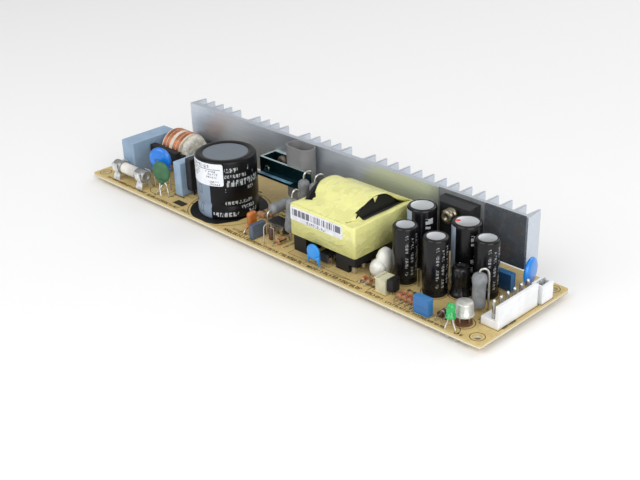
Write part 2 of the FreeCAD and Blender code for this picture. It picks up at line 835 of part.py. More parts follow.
def make_clip(number, x):
    """Spring clip: two leaves that rise from a base and close round the fuse cap."""
    sheet = size("clip_sheet")
    step = (CLIP_ARC_DEGREES[1] - CLIP_ARC_DEGREES[0]) / CLIP_ARC_COUNT
    grip = size("fuse_radius") / math.cos(math.radians(step / 2))
    rise = size("fuse_rise")
    angles = [math.radians(CLIP_ARC_DEGREES[0] + i * step) for i in range(CLIP_ARC_COUNT + 1)]
    right_in = [(grip * math.cos(a), rise + grip * math.sin(a)) for a in angles]
    right_out = [((grip + sheet) * math.cos(a), rise + (grip + sheet) * math.sin(a)) for a in angles]
    foot = size("clip_foot_tall")
    half = grip * CLIP_FOOT_SHARE
    profile = [(-half, 0), (half, 0)]
    profile += [(half + sheet, foot)]
    profile += right_out
    profile += list(reversed(right_in))
    profile += [(half - sheet, foot + sheet), (-half + sheet, foot + sheet)]
    profile += [(-px, pz) for px, pz in right_in]
    profile += [(-px, pz) for px, pz in reversed(right_out)]
    profile += [(-half - sheet, foot)]
    start = at(x - size("clip_wide") / 2, places["fuse_y"], 0)
    clip = extrude(f"clip_{number}", edge_loop(profile), "cells.clip_wide", Placement(start, ALONG_X))
    solder(x, places["fuse_y"] - half)
    solder(x, places["fuse_y"] + half)
    return clip


def make_line_choke():
    """Line choke: closed ferrite frame, sectioned bobbin, copper windings and adhesive."""
    x0 = places["choke_left"]
    y0 = places["choke_front"]
    low = size("choke_axis") - size("choke_core_tall") / 2
    limb = size("choke_limb")
    fit = size("choke_fit")
    outer = box("choke_block", ("cells.choke_long", "cells.choke_deep", "cells.choke_core_tall"),
                at(x0, y0, low))
    window = box("choke_window", ("cells.choke_long - 2 * cells.choke_end_limb",
                                  "cells.choke_deep - 2 * cells.choke_limb",
                                  "cells.choke_core_tall + 2"),
                 at(x0 + size("choke_end_limb"), y0 + limb, low - 1))
    ring = less("choke_ring", outer, [window])
    start = at(x0 + 0.5, places["choke_y"], size("choke_axis"))
    post = rod("choke_post", "cells.choke_centre_limb - cells.choke_fit", start,
               start + Vector(size("choke_long") - 1.0, 0, 0))
    joined("line_choke_core", [ring, post])
    inside = x0 + size("choke_end_limb") + fit
    span = size("choke_long") - 2 * size("choke_end_limb") - 2 * fit
    flange = size("choke_flange")
    big = size("choke_flange_radius")
    mid = size("choke_middle")
    section = (span - 4 * flange - mid) / 4
    stops = [0, flange, flange + section, 2 * flange + section, 2 * flange + 2 * section]
    stops += [stops[-1] + mid]
    stops += [stops[-1] + section, stops[-1] + section + flange, stops[-1] + 2 * section + flange, span]
    along = [at(inside + stop, places["choke_y"], size("choke_axis")) for stop in stops]
    spool = [prism("choke_tube", SPOOL_SIDE_COUNT, "cells.choke_tube_radius", along[0], along[-1])]
    for i in range(0, len(stops) - 1, 2):
        spool.append(prism(f"choke_flange_{i}", SPOOL_SIDE_COUNT, "cells.choke_flange_radius",
                           along[i], along[i + 1]))
    pairs = [("left", inside), ("right", inside + span - size("choke_foot"))]
    feet = []
    for name, x in pairs:
        deep = "cells.choke_deep - 2 * cells.choke_limb - 2 * cells.choke_fit"
        tall = "cells.choke_axis - cells.choke_winding_radius - cells.choke_fit"
        feet.append(box(f"choke_foot_{name}", ("cells.choke_foot", deep, tall),
                        at(x, y0 + limb + fit, 0)))
        pin_in = limb + size("choke_pin_in")
        for y in (y0 + pin_in, places["choke_back"] - pin_in):
            solder(x + size("choke_foot") / 2, y)
    spool_bore = rod("choke_bore", "cells.choke_centre_limb", along[0], along[-1])
    less("line_choke_bobbin", joined("choke_spool", spool + feet), [spool_bore])
    windings = []
    for i in range(1, len(stops) - 1, 2):
        coil = prism(f"choke_coil_{i}", SPOOL_SIDE_COUNT, "cells.choke_winding_radius", along[i],
                     along[i + 1])
        core = prism(f"choke_coil_core_{i}", SPOOL_SIDE_COUNT,
                     "cells.choke_tube_radius + cells.choke_fit / 2", along[i], along[i + 1])
        windings.append(less(f"choke_winding_{i}", coil, [core]))
    grouped("line_choke_windings", windings)
    long = size("choke_end_limb") + size("adhesive_over")
    dome = [(0, 0), (0, big - fit), (long * 0.55, big - fit), (long * 0.85, big * 0.88),
            (long, big * 0.66), (long, 0)]
    place = Placement(at(inside + span + fit / 2, places["choke_y"], size("choke_axis")), LEVEL)
    blob = turn("choke_adhesive_dome", dome, place, about="H_Axis")
    hollow_at = at(places["choke_right"] - size("choke_end_limb") - fit, y0, low)
    hollow = box("choke_adhesive_hollow", ("cells.choke_end_limb + cells.choke_fit",
                                           "cells.choke_deep", "cells.choke_core_tall"), hollow_at)
    post_hole = rod("choke_adhesive_bore", "cells.choke_centre_limb", start,
                    start + Vector(size("choke_long") - 2 * fit, 0, 0))
    less("line_choke_adhesive", blob, [hollow, post_hole])


def pin(name, x, y, top, radius="cells.lead_radius"):
    """Make a straight lead from a height down to the board, with its solder joint."""
    solder(x, y)
    return prism(name, LEAD_SIDE_COUNT, radius, at(x, y, top), at(x, y, 0))


def disc_part(label, centre, radius, thick, feet, heading=0.0):
    """Make a coated disc that stands on edge, with a bent lead to each foot."""
    half = size(thick) / 2
    big = size(radius)
    edge = half * EDGE_SHARE
    profile = [(0, -half), (big - edge, -half), (big, -half + edge), (big, half - edge),
               (big - edge, half), (0, half)]
    turned = Rotation(UP, heading)
    things = [turn(f"{label}_disc", profile, Placement(at(*centre), turned))]
    along = turned.multVec(Vector(1, 0, 0))
    for i, (offset, x, y) in enumerate(feet):
        start = at(*centre) + along * offset - UP * big * LEAD_START_SHARE
        knee = at(x, y, size("lead_knee"))
        things += wire(f"{label}_lead_{i}", "cells.lead_radius", [start, knee, at(x, y, 0)])
        solder(x, y)
    return joined(label, things)


def make_mains_discs():
    """Varistor and thermistor that stand on edge behind the fuse."""
    x = places["varistor_x"]
    y = places["varistor_y"]
    half = size("varistor_lead_pitch") / 2
    disc_part("surge_varistor", (x, y, size("varistor_rise")), "varistor_radius", "varistor_thick",
              [(-half, x - half, y), (half, x + half, y)], size("varistor_heading"))
    x = places["thermistor_x"]
    y = places["thermistor_y"]
    half = size("thermistor_lead_pitch") / 2
    front = y - size("thermistor_foot_forward")
    disc_part("inrush_thermistor", (x, y, size("thermistor_rise")), "thermistor_radius",
              "thermistor_thick", [(-half, x - half, front), (half, x + half, front)],
              size("thermistor_heading"))


def make_rectifier_and_film():
    """Film capacitor across the line and the flat bridge rectifier beside it."""
    case = box("line_case", ("cells.line_cap_wide", "cells.line_cap_deep", "cells.line_cap_tall"),
               at(places["line_cap_left"], size("line_cap_front"), 0))
    named(chamfered("line_film_capacitor", case, size("case_edge")), "line_film_capacitor")
    middle = places["line_cap_left"] + size("line_cap_wide") / 2
    for share in (0.15, 0.85):
        solder(middle, size("line_cap_front") + share * size("line_cap_deep"))
    slab = box("bridge_slab", ("cells.bridge_wide", "cells.bridge_deep", "cells.bridge_tall"),
               at(places["bridge_left"], size("bridge_front"), size("bridge_lift")))
    things = [chamfered("bridge_body", slab, size("case_edge"))]
    middle = places["bridge_left"] + size("bridge_wide") / 2
    first = size("bridge_front") + size("bridge_deep") / 2 - 1.5 * size("bridge_pitch")
    for i in range(4):
        things.append(pin(f"bridge_lead_{i}", middle, first + i * size("bridge_pitch"),
                          size("bridge_lift") + size("case_edge"), "cells.bridge_lead_radius"))
    joined("bridge_rectifier", things)


def can_capacitor(label, x, y, radius, tall, roll="rolled_edge"):
    """Sleeved round capacitor with a rolled groove near its foot and a sunk top."""
    big = size(radius)
    high = size(tall)
    groove = size("sleeve_bead")
    rise = size("bead_rise")
    lip = size(roll)
    soft = lip * ROLL_SHARE
    sunk = high - size("top_sunk")
    profile = [(0, 0), (big, 0), (big, rise - 2 * groove), (big - groove, rise),
               (big, rise + 2 * groove), (big, high - soft), (big - soft, high), (big - lip, high),
               (big - lip, sunk), (0, sunk)]
    turn(label, profile, Placement(at(x, y, 0), UPRIGHT))
    for side in (-1, 1):
        solder(x, y + side * big * PIN_SHARE)


def make_transistor_group():
    """Switching transistor in a rubber sleeve, pressed to the sink by a bent clamp."""
    deep = places["sleeve_deep"]
    wide = size("sleeve_wide")
    wall = size("sleeve_wall")
    middle = at(places["sleeve_x"], places["sleeve_y"], size("sleeve_lift"))
    edges = stadium(wide, deep) + stadium(wide - 2 * wall, deep - 2 * wall)
    extrude("transistor_sleeve", edges, "cells.sleeve_tall", Placement(middle, LEVEL))
    tab = box("transistor_tab", ("cells.transistor_wide", "cells.transistor_plate",
                                 "cells.transistor_tall"),
              at(places["sleeve_x"] - size("transistor_wide") / 2,
                 places["sleeve_y"] + size("transistor_deep") / 2 - size("transistor_plate"),
                 size("transistor_lift")))
    body = box("transistor_body", ("cells.transistor_wide", "cells.transistor_deep",
                                   "cells.transistor_body_tall"),
               at(places["sleeve_x"] - size("transistor_wide") / 2,
                  places["sleeve_y"] - size("transistor_deep") / 2, size("transistor_lift")))
    things = [tab, chamfered("transistor_case", body, size("case_edge"))]
    for i in (-1, 0, 1):
        things.append(pin(f"transistor_lead_{i + 1}", places["sleeve_x"] + i * size("chip_pin_pitch"),
                          places["sleeve_y"], size("transistor_lift") + size("case_edge"),
                          "cells.bridge_lead_radius"))
    joined("switching_transistor", things)
    make_clamp()


def make_clamp():
    """Clamp bent from sheet: a tab screwed to the sink, a side and a long front wall."""
    sheet = size("clamp_sheet")
    wide = size("clamp_wide")
    deep = size("clamp_deep")
    tab = size("clamp_tab") + sheet
    outline = [(0, 0), (wide, 0), (wide, sheet), (sheet, sheet), (sheet, deep - sheet),
               (tab, deep - sheet), (tab, deep), (0, deep)]
    corner = at(places["clamp_left"], places["sink_front"] - deep, size("clamp_rise"))
    strip = extrude("clamp_strip", edge_loop(outline), "cells.clamp_tall", Placement(corner, LEVEL))
    flange = box("clamp_flange", ("cells.clamp_wide", "cells.clamp_flange + cells.clamp_sheet",
                                  "cells.clamp_sheet"), corner - Vector(0, size("clamp_flange"), 0))
    bent = joined("clamp_bent", [strip, flange])
    x = places["clamp_screw_x"]
    start = at(x, places["sink_front"] - deep + 2 * sheet, size("clamp_screw_rise"))
    hole = rod("clamp_hole", "cells.screw_shank_radius + cells.screw_hole_clearance", start,
               start + Vector(0, deep, 0))
    less("transistor_clamp", bent, [hole])
    screw("clamp_screw", x, places["sink_front"] - sheet, size("clamp_screw_rise"),
          size("screw_head_tall"))


def screw(label, x, seat, z, tall):
    """Screw that enters the sink from the front and seats at depth seat."""
    head = size("screw_head_radius")
    shank = size("screw_shank_radius")
    end = places["sink_front"] - seat + size("sink_plate") * SCREW_REACH_SHARE
    slot = head * SLOT_HALF_SHARE
    bevel = head * BEVEL_SHARE
    profile = [(0, -tall * SLOT_DEPTH_SHARE), (slot, -tall * SLOT_DEPTH_SHARE), (slot, -tall),
               (head - bevel, -tall), (head, bevel - tall), (head, 0), (shank, 0), (shank, end),
               (0, end)]
    turn(label, profile, Placement(at(x, seat, z), LEVEL))


def stadium(length, depth):
    """Return the edges of a round ended slot about the origin."""
    radius = depth / 2
    half = length / 2 - radius
    right = Part.Circle(Vector(half, 0, 0), UP, radius)
    left = Part.Circle(Vector(-half, 0, 0), UP, radius)
    quarter = math.pi / 2
    return [Part.LineSegment(Vector(-half, -radius, 0), Vector(half, -radius, 0)),
            Part.ArcOfCircle(right, -quarter, quarter),
            Part.LineSegment(Vector(half, radius, 0), Vector(-half, radius, 0)),
            Part.ArcOfCircle(left, quarter, 3 * quarter)]


def case_on_board(label, sizes, corner, edge="case_edge"):
    """Make a box cased part with broken edges that stands on the board."""
    case = box(f"{label}_case", sizes, corner)
    return named(chamfered(label, case, size(edge)), label)


def dual_in_line(label, corner, sizes, pins, across):
    """Moulded chip with rows of bent pins; across is the direction the rows face."""
    x, y = corner
    wide, deep, thick = (f"cells.{alias}" for alias in sizes)
    lift = size("chip_lift")
    body = box(f"{label}_moulding", (wide, deep, thick), at(x, y, lift))
    things = [chamfered(f"{label}_case", body, size("case_edge"))]
    long = size(sizes[1]) if across == "x" else size(sizes[0])
    span = size(sizes[0]) if across == "x" else size(sizes[1])
    out = size("chip_pin_out")
    sheet = size("chip_pin_sheet")
    wide_pin = size("chip_pin_wide")
    shoulder = lift + size(sizes[2]) * 0.45
    first = (long - (pins - 1) * size("chip_pin_pitch")) / 2
    for row, low in enumerate((-out, span)):
        leg = -out if row == 0 else span + out - sheet
        for i in range(pins):
            along = first + i * size("chip_pin_pitch") - wide_pin / 2
            top = ("cells.chip_pin_out", "cells.chip_pin_wide", "cells.chip_pin_sheet")
            leg_sizes = ("cells.chip_pin_sheet", "cells.chip_pin_wide", f"{shoulder} + cells.chip_pin_sheet")
            if across == "x":
                top_at = at(x + low, y + along, shoulder)
                leg_at = at(x + leg, y + along, 0)
                solder(x + leg + sheet / 2, y + along + wide_pin / 2)
            else:
                top = (top[1], top[0], top[2])
                leg_sizes = (leg_sizes[1], leg_sizes[0], leg_sizes[2])
                top_at = at(x + along, y + low, shoulder)
                leg_at = at(x + along, y + leg, 0)
                solder(x + along + wide_pin / 2, y + leg + sheet / 2)
            things.append(box(f"{label}_shoulder_{row}_{i}", top, top_at))
            things.append(box(f"{label}_leg_{row}_{i}", leg_sizes, leg_at))
    return joined(label, things)


def coated_body(label, radius, start, end):
    """Make a coated resistor body between two points, its ends a little drawn in."""
    long = (end - start).Length
    soft = radius * END_SHARE
    profile = [(0, 0), (radius - soft, 0), (radius, soft), (radius, long - soft),
               (radius - soft, long), (0, long)]
    return turn(f"{label}_body", profile,
                Placement(start, Rotation(Vector(0, 1, 0), end - start)))


def standing(label, x, y, radius, long, lift, loop, heading, lead="cells.lead_radius"):
    """Make a part that stands on end, its upper lead looped over and down to the board."""
    low = at(x, y, lift)
    high = at(x, y, lift + long)
    body = coated_body(label, radius, low, high)
    ahead = Vector(math.cos(heading), math.sin(heading), 0)
    far = Vector(x, y, 0) + ahead * 2 * loop
    top = high + UP * size("loop_stub")
    arch = half_ring(loop, top + ahead * loop, ahead)
    inside = UP * long * BURIED_SHARE
    things = [body] + wire(f"{label}_foot", lead, [low + inside, at(x, y, 0)])
    things += wire(f"{label}_loop", lead, [high - inside] + arch + [at(far.x, far.y, 0)])
    solder(x, y)
    solder(far.x, far.y)
    return things


def laid_leads(label, start, heading, span, rise, lead):
    """Make the bent lead of a part that lies along the board between two feet."""
    x, y = start
    end = Vector(x, y, 0) + Vector(math.cos(heading), math.sin(heading), 0) * span
    points = [at(x, y, 0), at(x, y, rise), at(end.x, end.y, rise), at(end.x, end.y, 0)]
    solder(x, y)
    solder(end.x, end.y)
    return wire(f"{label}_lead", lead, points)


def small_axial(label, start, heading):
    """Make a small diode or resistor that lies along the board."""
    ahead = Vector(math.cos(heading), math.sin(heading), 0)
    lead = laid_leads(label, start, heading, size("small_span"), size("small_body_lift"),
                      "cells.small_lead_radius")
    near = at(*start, size("small_body_lift")) + ahead * (size("small_span") - size("small_body_long")) / 2
    body = prism(f"{label}_body", SMALL_BODY_SIDE_COUNT, "cells.small_body_radius", near,
                 near + ahead * size("small_body_long"))
    return joined(label, [body] + lead)


def make_control_parts():
    """Small parts between the bulk capacitor and the transformer."""
    case = box("drop_case", ("cells.drop_cap_thick", "cells.drop_cap_wide", "cells.drop_cap_tall"),
               at(places["drop_cap_left"], size("drop_cap_front"), size("drop_cap_lift")))
    middle = places["drop_cap_left"] + size("drop_cap_thick") / 2
    back = size("drop_cap_front") + 0.8 * size("drop_cap_wide")
    front = size("drop_cap_front") - size("drop_cap_foot_forward")
    start = at(middle, size("drop_cap_front") + 0.2 * size("drop_cap_wide"), size("drop_cap_lift") + 1)
    foot = (middle - size("drop_cap_foot_forward") / 2, front)
    knee = at(*foot, size("drop_cap_lift"))
    lead = wire("drop_front_lead", "cells.lead_radius", [start, knee, at(*foot, 0)])
    solder(*foot)
    rounded = chamfered("drop_rounded", case, size("drop_cap_edge"))
    joined("orange_film_capacitor", [rounded, pin("drop_back_lead", middle, back,
                                                  2 * size("drop_cap_lift"))] + lead)
    case_on_board("control_film_capacitor", ("cells.control_cap_thick", "cells.control_cap_deep",
                                             "cells.control_cap_tall"),
                  at(places["control_cap_left"], size("control_cap_front"), 0))
    dual_in_line("control_ic", (places["chip_left"], size("chip_front")),
                 ("chip_long", "chip_wide", "chip_thick"), CHIP_PIN_COUNT, "y")
    heading = math.radians(size("snubber_heading"))
    rear_y = size("snubber_front") + size("snubber_rear_back")
    stands = ((places["snubber_x"], size("snubber_front")),
              (places["snubber_x"] - size("snubber_rear_left"), rear_y + size("snubber_stagger")),
              (places["snubber_x"] - size("snubber_middle_left"), rear_y))
    for i, (x, y) in enumerate(stands, start=1):
        label = f"snubber_resistor_{i}"
        joined(label, standing(label, x, y, size("snubber_radius"), size("snubber_long"),
                               size("snubber_lift"), size("snubber_loop"), heading))
    x = places["chip_left"] + size("startup_gap")
    y = size("chip_front") - size("startup_forward")
    rise = size("startup_rise")
    near = at(x, y + (size("startup_span") - size("startup_long")) / 2, rise)
    lead = laid_leads("startup_resistor", (x, y), math.pi / 2, size("startup_span"), rise,
                      "cells.lead_radius")
    body = coated_body("startup_resistor", size("startup_radius"), near,
                       near + Vector(0, size("startup_long"), 0))
    joined("startup_resistor", [body] + lead)


def make_small_axials():
    """Glass diodes and quarter watt resistors."""
    x = places["chip_right"] - size("loop_diode_left")
    loose = standing("loop_diode", x, size("loop_diode_front"), size("small_body_radius"),
                     size("loop_diode_long"), size("loop_diode_lift"), size("loop_diode_loop"),
                     math.radians(size("loop_diode_heading")), "cells.small_lead_radius")
    diodes = [joined("diode_looped", loose)]
    upright = math.pi / 2
    for i in range(2):
        x = places["film_cap_right"] + size("diode_gap") * (1 + i)
        diodes.append(small_axial(f"diode_{i}", (x, size("divider_front")), upright))
    grouped("small_diodes", diodes)
    spots = [(places["divider_x"] + i * size("small_pitch"), size("divider_front"), upright)
             for i in range(DIVIDER_COUNT)]
    left = places["bulk_right"] + size("sense_gap")
    spots.append((left, places["bulk_y"] + size("sense_back"), 0.0))
    spots.append((left + size("sense_shift"), places["bulk_y"] + size("sense_back")
                  + size("sense_pitch"), 0.0))
    spots.append((places["snubber_x"] - size("brown_left"), size("brown_front"), upright))
    grouped("axial_resistors", [small_axial(f"axial_{i}", (x, y), heading)
                                for i, (x, y, heading) in enumerate(spots)])


def make_transformer():
    """Switching transformer: ferrite core, bobbin, taped winding, tape belt and pins."""
    x0 = places["transformer_left"]
    x1 = places["transformer_right"]
    y0 = size("transformer_front")
    middle = places["transformer_y"]
    tape = size("belt_tape")
    fit = size("choke_fit")
    axis = size("winding_axis")
    belt = box("belt_block", ("cells.transformer_long", "cells.transformer_deep",
                              "cells.belt_high - cells.belt_low"), at(x0, y0, size("belt_low")))
    inner = ("cells.transformer_long - 2 * cells.belt_tape",
             "cells.transformer_deep - 2 * cells.belt_tape",
             "cells.belt_high - cells.belt_low - cells.belt_tape")
    inner_at = at(x0 + tape, y0 + tape, size("belt_low"))
    left = size("arch_left_inset")
    right = size("arch_right_inset")
    lid_window = box("belt_lid_window", (
        "cells.transformer_long - cells.arch_left_inset - cells.arch_right_inset + 2 * cells.choke_fit",
        inner[1], "2 * cells.belt_tape"),
        at(x0 + left - fit, y0 + tape, size("belt_high") - tape))
    less("transformer_tape", belt, [box("belt_inside", inner, inner_at), lid_window])
    block = box("core_block", inner, inner_at)
    limb = size("core_limb")
    window = box("core_window", (
        "cells.transformer_long - cells.arch_left_inset - cells.arch_right_inset + 2 * cells.choke_fit",
        "cells.transformer_deep - 2 * cells.core_limb", "cells.belt_high"),
        at(x0 + left - fit, y0 + limb, 0))
    ring = less("core_ring", block, [window])
    post = rod("core_middle", "cells.core_post - cells.choke_fit", at(x0 + left - 2 * fit, middle, axis),
               at(x1 - right + 2 * fit, middle, axis))
    joined("transformer_core", [ring, post])
    flange = size("arch_flange")
    big = size("arch_high") - axis - size("flange_recess")
    low = size("rail_tall")
    dip = math.asin((low - axis) / big)
    circle = Part.Circle(Vector(0, axis, 0), UP, big)
    chord = [Vector(-big * math.cos(dip), low, 0), Vector(big * math.cos(dip), low, 0)]
    things = []
    for name, x in (("left", x0 + left), ("right", x1 - right - flange)):
        edges = [Part.LineSegment(*chord), Part.ArcOfCircle(circle, dip, math.pi - dip)]
        things.append(extrude(f"bobbin_flange_{name}", edges, "cells.arch_flange",
                              Placement(at(x, middle, 0), ALONG_X)))
    things.append(rod("bobbin_tube", "cells.core_post + cells.bobbin_wall",
                      at(x0 + left, middle, axis), at(x1 - right, middle, axis)))
    shelf_x = places["shelf_left"]
    rails = ((x0 - size("rail_out"), "left"), (shelf_x - size("rail_wide"), "right"))
    for x, name in rails:
        things.append(box(f"bobbin_rail_{name}", ("cells.rail_wide", "cells.rail_deep",
                                                  "cells.rail_tall"),
                          at(x, middle - size("rail_deep") / 2, 0)))
    things.append(box("bobbin_shelf", ("cells.pin_shelf", "cells.rail_deep", "cells.shelf_tall"),
                      at(shelf_x, middle - size("rail_deep") / 2,
                         size("rail_tall") - size("shelf_tall"))))
    bore = rod("bobbin_bore", "cells.core_post", at(x0, middle, axis), at(x1, middle, axis))
    less("transformer_bobbin", joined("bobbin_whole", things), [bore])
    make_winding(x0 + left + flange, x1 - right - flange)
    pins = []
    first = middle - (TRANSFORMER_PIN_COUNT - 1) / 2 * size("transformer_pin_pitch")
    x = shelf_x + size("pin_shelf") * SHELF_PIN_SHARE
    high = size("rail_tall") - size("shelf_tall")
    for i in range(TRANSFORMER_PIN_COUNT):
        y = first + i * size("transformer_pin_pitch")
        thing = pin(f"transformer_pin_{i}", x, y, high, "cells.transformer_pin_radius")
        wrap = prism(f"transformer_wrap_{i}", SMALL_BODY_SIDE_COUNT, "cells.wrap_radius",
                     at(x, y, high * WRAP_SHARES[0]), at(x, y, high * WRAP_SHARES[1]))
        pins.append(joined(f"transformer_terminal_{i}", [thing, wrap]))
        solder(x0 - size("rail_out") + size("rail_wide") * 0.3, y)
    grouped("transformer_pins", pins)


def make_winding(left, right):
    """Taped winding: it fills the core window and humps over the core's long sides."""
    fit = size("choke_fit")
    half = size("transformer_deep") / 2
    side = half - size("core_limb") - fit
    axis = size("winding_axis")
    big = size("arch_high") - axis
    top = size("belt_high")
    low = size("rail_tall")
    shoulder = half - size("belt_tape")
    arch = [(big * math.cos(math.radians(a)), axis + big * math.sin(math.radians(a)))
            for a in range(HUMP_START_DEGREES, 181 - HUMP_START_DEGREES, HUMP_STEP_DEGREES)]
    corner = low + size("winding_corner")
    foot = side - size("winding_foot")
    outline = [(-foot, low), (foot, low), (side, corner), (side, top), (shoulder, top)]
    outline += arch + [(-shoulder, top), (-side, top), (-side, corner)]
    coil = extrude("winding_block", edge_loop(outline),
                   f"{right - left}", Placement(at(left, places["transformer_y"], 0), ALONG_X))
    hole = rod("winding_bore", "cells.core_post + cells.bobbin_wall",
               at(left - 1, places["transformer_y"], axis), at(right + 1, places["transformer_y"], axis))
    less("transformer_winding", coil, [hole])


def make_barrier_parts():
    """Parts at the front of the transformer that bridge the two sides."""
    x = places["transformer_left"] + size("safety_cap_offset")
    y = size("safety_cap_front")
    half = size("safety_cap_pitch") / 2
    disc_part("safety_capacitor", (x, y, size("safety_cap_rise")), "safety_cap_radius",
              "safety_cap_thick", [(-half * 0.7, x - half, y), (half * 0.7, x + half, y)])
    dual_in_line("feedback_optocoupler", (places["opto_left"], size("opto_front")),
                 ("opto_wide", "opto_deep", "opto_thick"), OPTO_PIN_COUNT, "x")


def make_output_front():
    """Bead, coupler, shunt regulator, film capacitor and indicator along the front."""
    middle = at(places["bead_left"] + size("bead_wide") / 2,
                size("bead_front") + size("bead_deep") / 2, 0)
    blob = extrude("bead_block", stadium(size("bead_deep"), size("bead_wide")), "cells.bead_tall",
                   Placement(middle, Rotation(UP, 90)))
    doc.recompute()
    rim = [i for i, e in enumerate(blob.Shape.Edges, start=1)
           if min(v.Z for v in e.Vertexes) > TOP + size("bead_tall") / 2]
    named(chamfered("adhesive_bead", blob, size("bead_round"), rim), "adhesive_bead")
    x = places["coupler_left"]
    y = size("coupler_front")
    lip = size("coupler_lip")
    body = box("coupler_body", ("cells.coupler_wide", "cells.coupler_deep",
                                "cells.coupler_tall - cells.coupler_plate"), at(x, y, 0))
    plate = box("coupler_top", ("cells.coupler_wide + 2 * cells.coupler_lip",
                                "cells.coupler_deep + 2 * cells.coupler_lip", "cells.coupler_plate"),
                at(x - lip, y - lip, size("coupler_tall") - size("coupler_plate")))
    joined("isolating_coupler", [body, plate])
    for dx, dy in ((0.2, 0.2), (0.8, 0.2), (0.8, 0.8), (0.2, 0.8)):
        solder(x + dx * size("coupler_wide"), y + dy * size("coupler_deep"))
    x = places["regulator_left"]
    y = size("coupler_front") + size("regulator_back")
    moulding = box("regulator_moulding", ("cells.regulator_wide", "cells.regulator_deep",
                                          "cells.regulator_tall"), at(x, y, size("regulator_lift")))
    things = [chamfered("regulator_case", moulding, size("case_edge"))]
    for i in (-1, 0, 1):
        things.append(pin(f"regulator_lead_{i + 1}", x + size("regulator_wide") / 2,
                          y + size("regulator_deep") / 2 + i * size("can_lead_circle"),
                          size("regulator_lift") + size("case_edge"), "cells.small_lead_radius"))
    joined("shunt_regulator", things)
    case_on_board("output_film_capacitor_front", ("cells.film_cap_long", "cells.film_cap_thick",
                                                  "cells.film_cap_tall"),
                  at(places["film_cap_left"], size("film_cap_front"), 0))
    for share in (0.12, 0.88):
        solder(places["film_cap_left"] + share * size("film_cap_long"),
               size("film_cap_front") + size("film_cap_thick") / 2)
    make_indicator()
    make_metal_can()


def make_indicator():
    """Small round indicator lamp on its two bent leads."""
    radius = size("led_radius")
    long = size("led_long")
    dome = [(radius * math.cos(math.radians(a)), long - radius + radius * math.sin(math.radians(a)))
            for a in range(0, 91, DOME_STEP_DEGREES)]
    profile = [(0, 0), (size("led_flange_radius"), 0),
               (size("led_flange_radius"), size("led_flange_tall")),
               (radius, size("led_flange_tall"))] + dome[:-1] + [(0, long)]
    x = places["led_x"]
    y = size("led_front")
    lift = size("led_lift")
    lens = turn("indicator_lens", profile, Placement(at(x, y, lift), UPRIGHT))
    half = size("led_pitch") / 2
    straight = pin("indicator_lead_left", x - half, y, lift + size("led_flange_tall") / 2)
    foot = x + half + size("led_foot_out")
    points = [at(x + half, y, lift + size("led_flange_tall") / 2), at(x + half, y, lift - 1),
              at(foot, y, size("led_knee")), at(foot, y, 0)]
    solder(foot, y)
    joined("indicator_led", [lens, straight] + wire("indicator_lead_right", "cells.lead_radius", points))


def make_metal_can():
    """Small metal can transistor on three leads over an insulating spacer."""
    x = places["can_x"]
    y = size("can_front")
    big = size("can_radius")
    brim = size("can_flange")
    tall = size("can_tall")
    profile = [(0, 0), (size("can_flange_radius"), 0), (size("can_flange_radius"), brim), (big, brim),
               (big, tall - brim), (big - brim, tall), (0, tall)]
    things = [turn("can_shell", profile, Placement(at(x, y, size("can_lift")), UPRIGHT))]
    holes = []
    for i, degrees in enumerate((0, 90, 180)):
        px = x + size("can_lead_circle") * math.cos(math.radians(degrees))
        py = y + size("can_lead_circle") * math.sin(math.radians(degrees))
        things.append(pin(f"can_lead_{i}", px, py, size("can_lift") + brim / 2,
                          "cells.small_lead_radius"))
        holes.append(rod(f"spacer_hole_{i}", "cells.small_lead_radius + cells.pin_clearance",
                         at(px, py, 2 * size("spacer_tall")), at(px, py, -size("spacer_tall"))))
    joined("metal_can_transistor", things)
    disc = rod("spacer_disc", "cells.spacer_radius", at(x, y, 0), at(x, y, size("spacer_tall")))
    less("transistor_spacer", disc, holes)


def make_output_cans():
    """Five output capacitors, the sleeved choke and the load resistor among them."""
    small = ("output_cap_radius", "output_cap_tall")
    large = ("large_cap_radius", "large_cap_tall")
    spots = ((places["first_x"], places["front_row_y"], small),
             (places["large_first_x"], places["large_row_y"], large),
             (places["second_x"], places["front_row_y"], small),
             (places["large_second_x"], places["large_row_y"], large),
             (places["last_x"], places["last_y"], small))
    for i, (x, y, sizes) in enumerate(spots, start=1):
        can_capacitor(f"output_capacitor_{i}", x, y, *sizes)
    can_capacitor("bulk_capacitor", places["bulk_x"], places["bulk_y"], "bulk_radius", "bulk_tall",
                  "bulk_rolled_edge")
    low = size("output_choke_radius")
    high = size("output_choke_top_radius")
    step = size("output_choke_tall")
    total = size("output_choke_total")
    edge = size("case_edge")
    profile = [(0, 0), (low, 0), (low, step - edge), (low - edge, step), (high, step),
               (high, total - edge), (high - edge, total), (0, total)]
    x = places["output_choke_x"]
    y = places["output_choke_y"]
    turn("output_choke", profile, Placement(at(x, y, 0), UPRIGHT))
    solder(x - low * PIN_SHARE, y)
    solder(x + low * PIN_SHARE, y)
    joined("load_resistor", standing(
        "load_resistor", places["load_x"], places["load_y"], size("load_radius"), size("load_long"),
        size("load_lift"), size("load_loop"), math.radians(size("load_heading"))))
    corner = at(places["rear_film_left"], places["rear_film_back"] - size("film_cap_thick"), 0)
    case_on_board("output_film_capacitor_rear", ("cells.film_cap_long", "cells.film_cap_thick",
                                                 "cells.film_cap_tall"), corner)
    for share in (0.12, 0.88):
        solder(places["rear_film_left"] + share * size("film_cap_long"),
               places["rear_film_back"] - size("film_cap_thick") / 2)


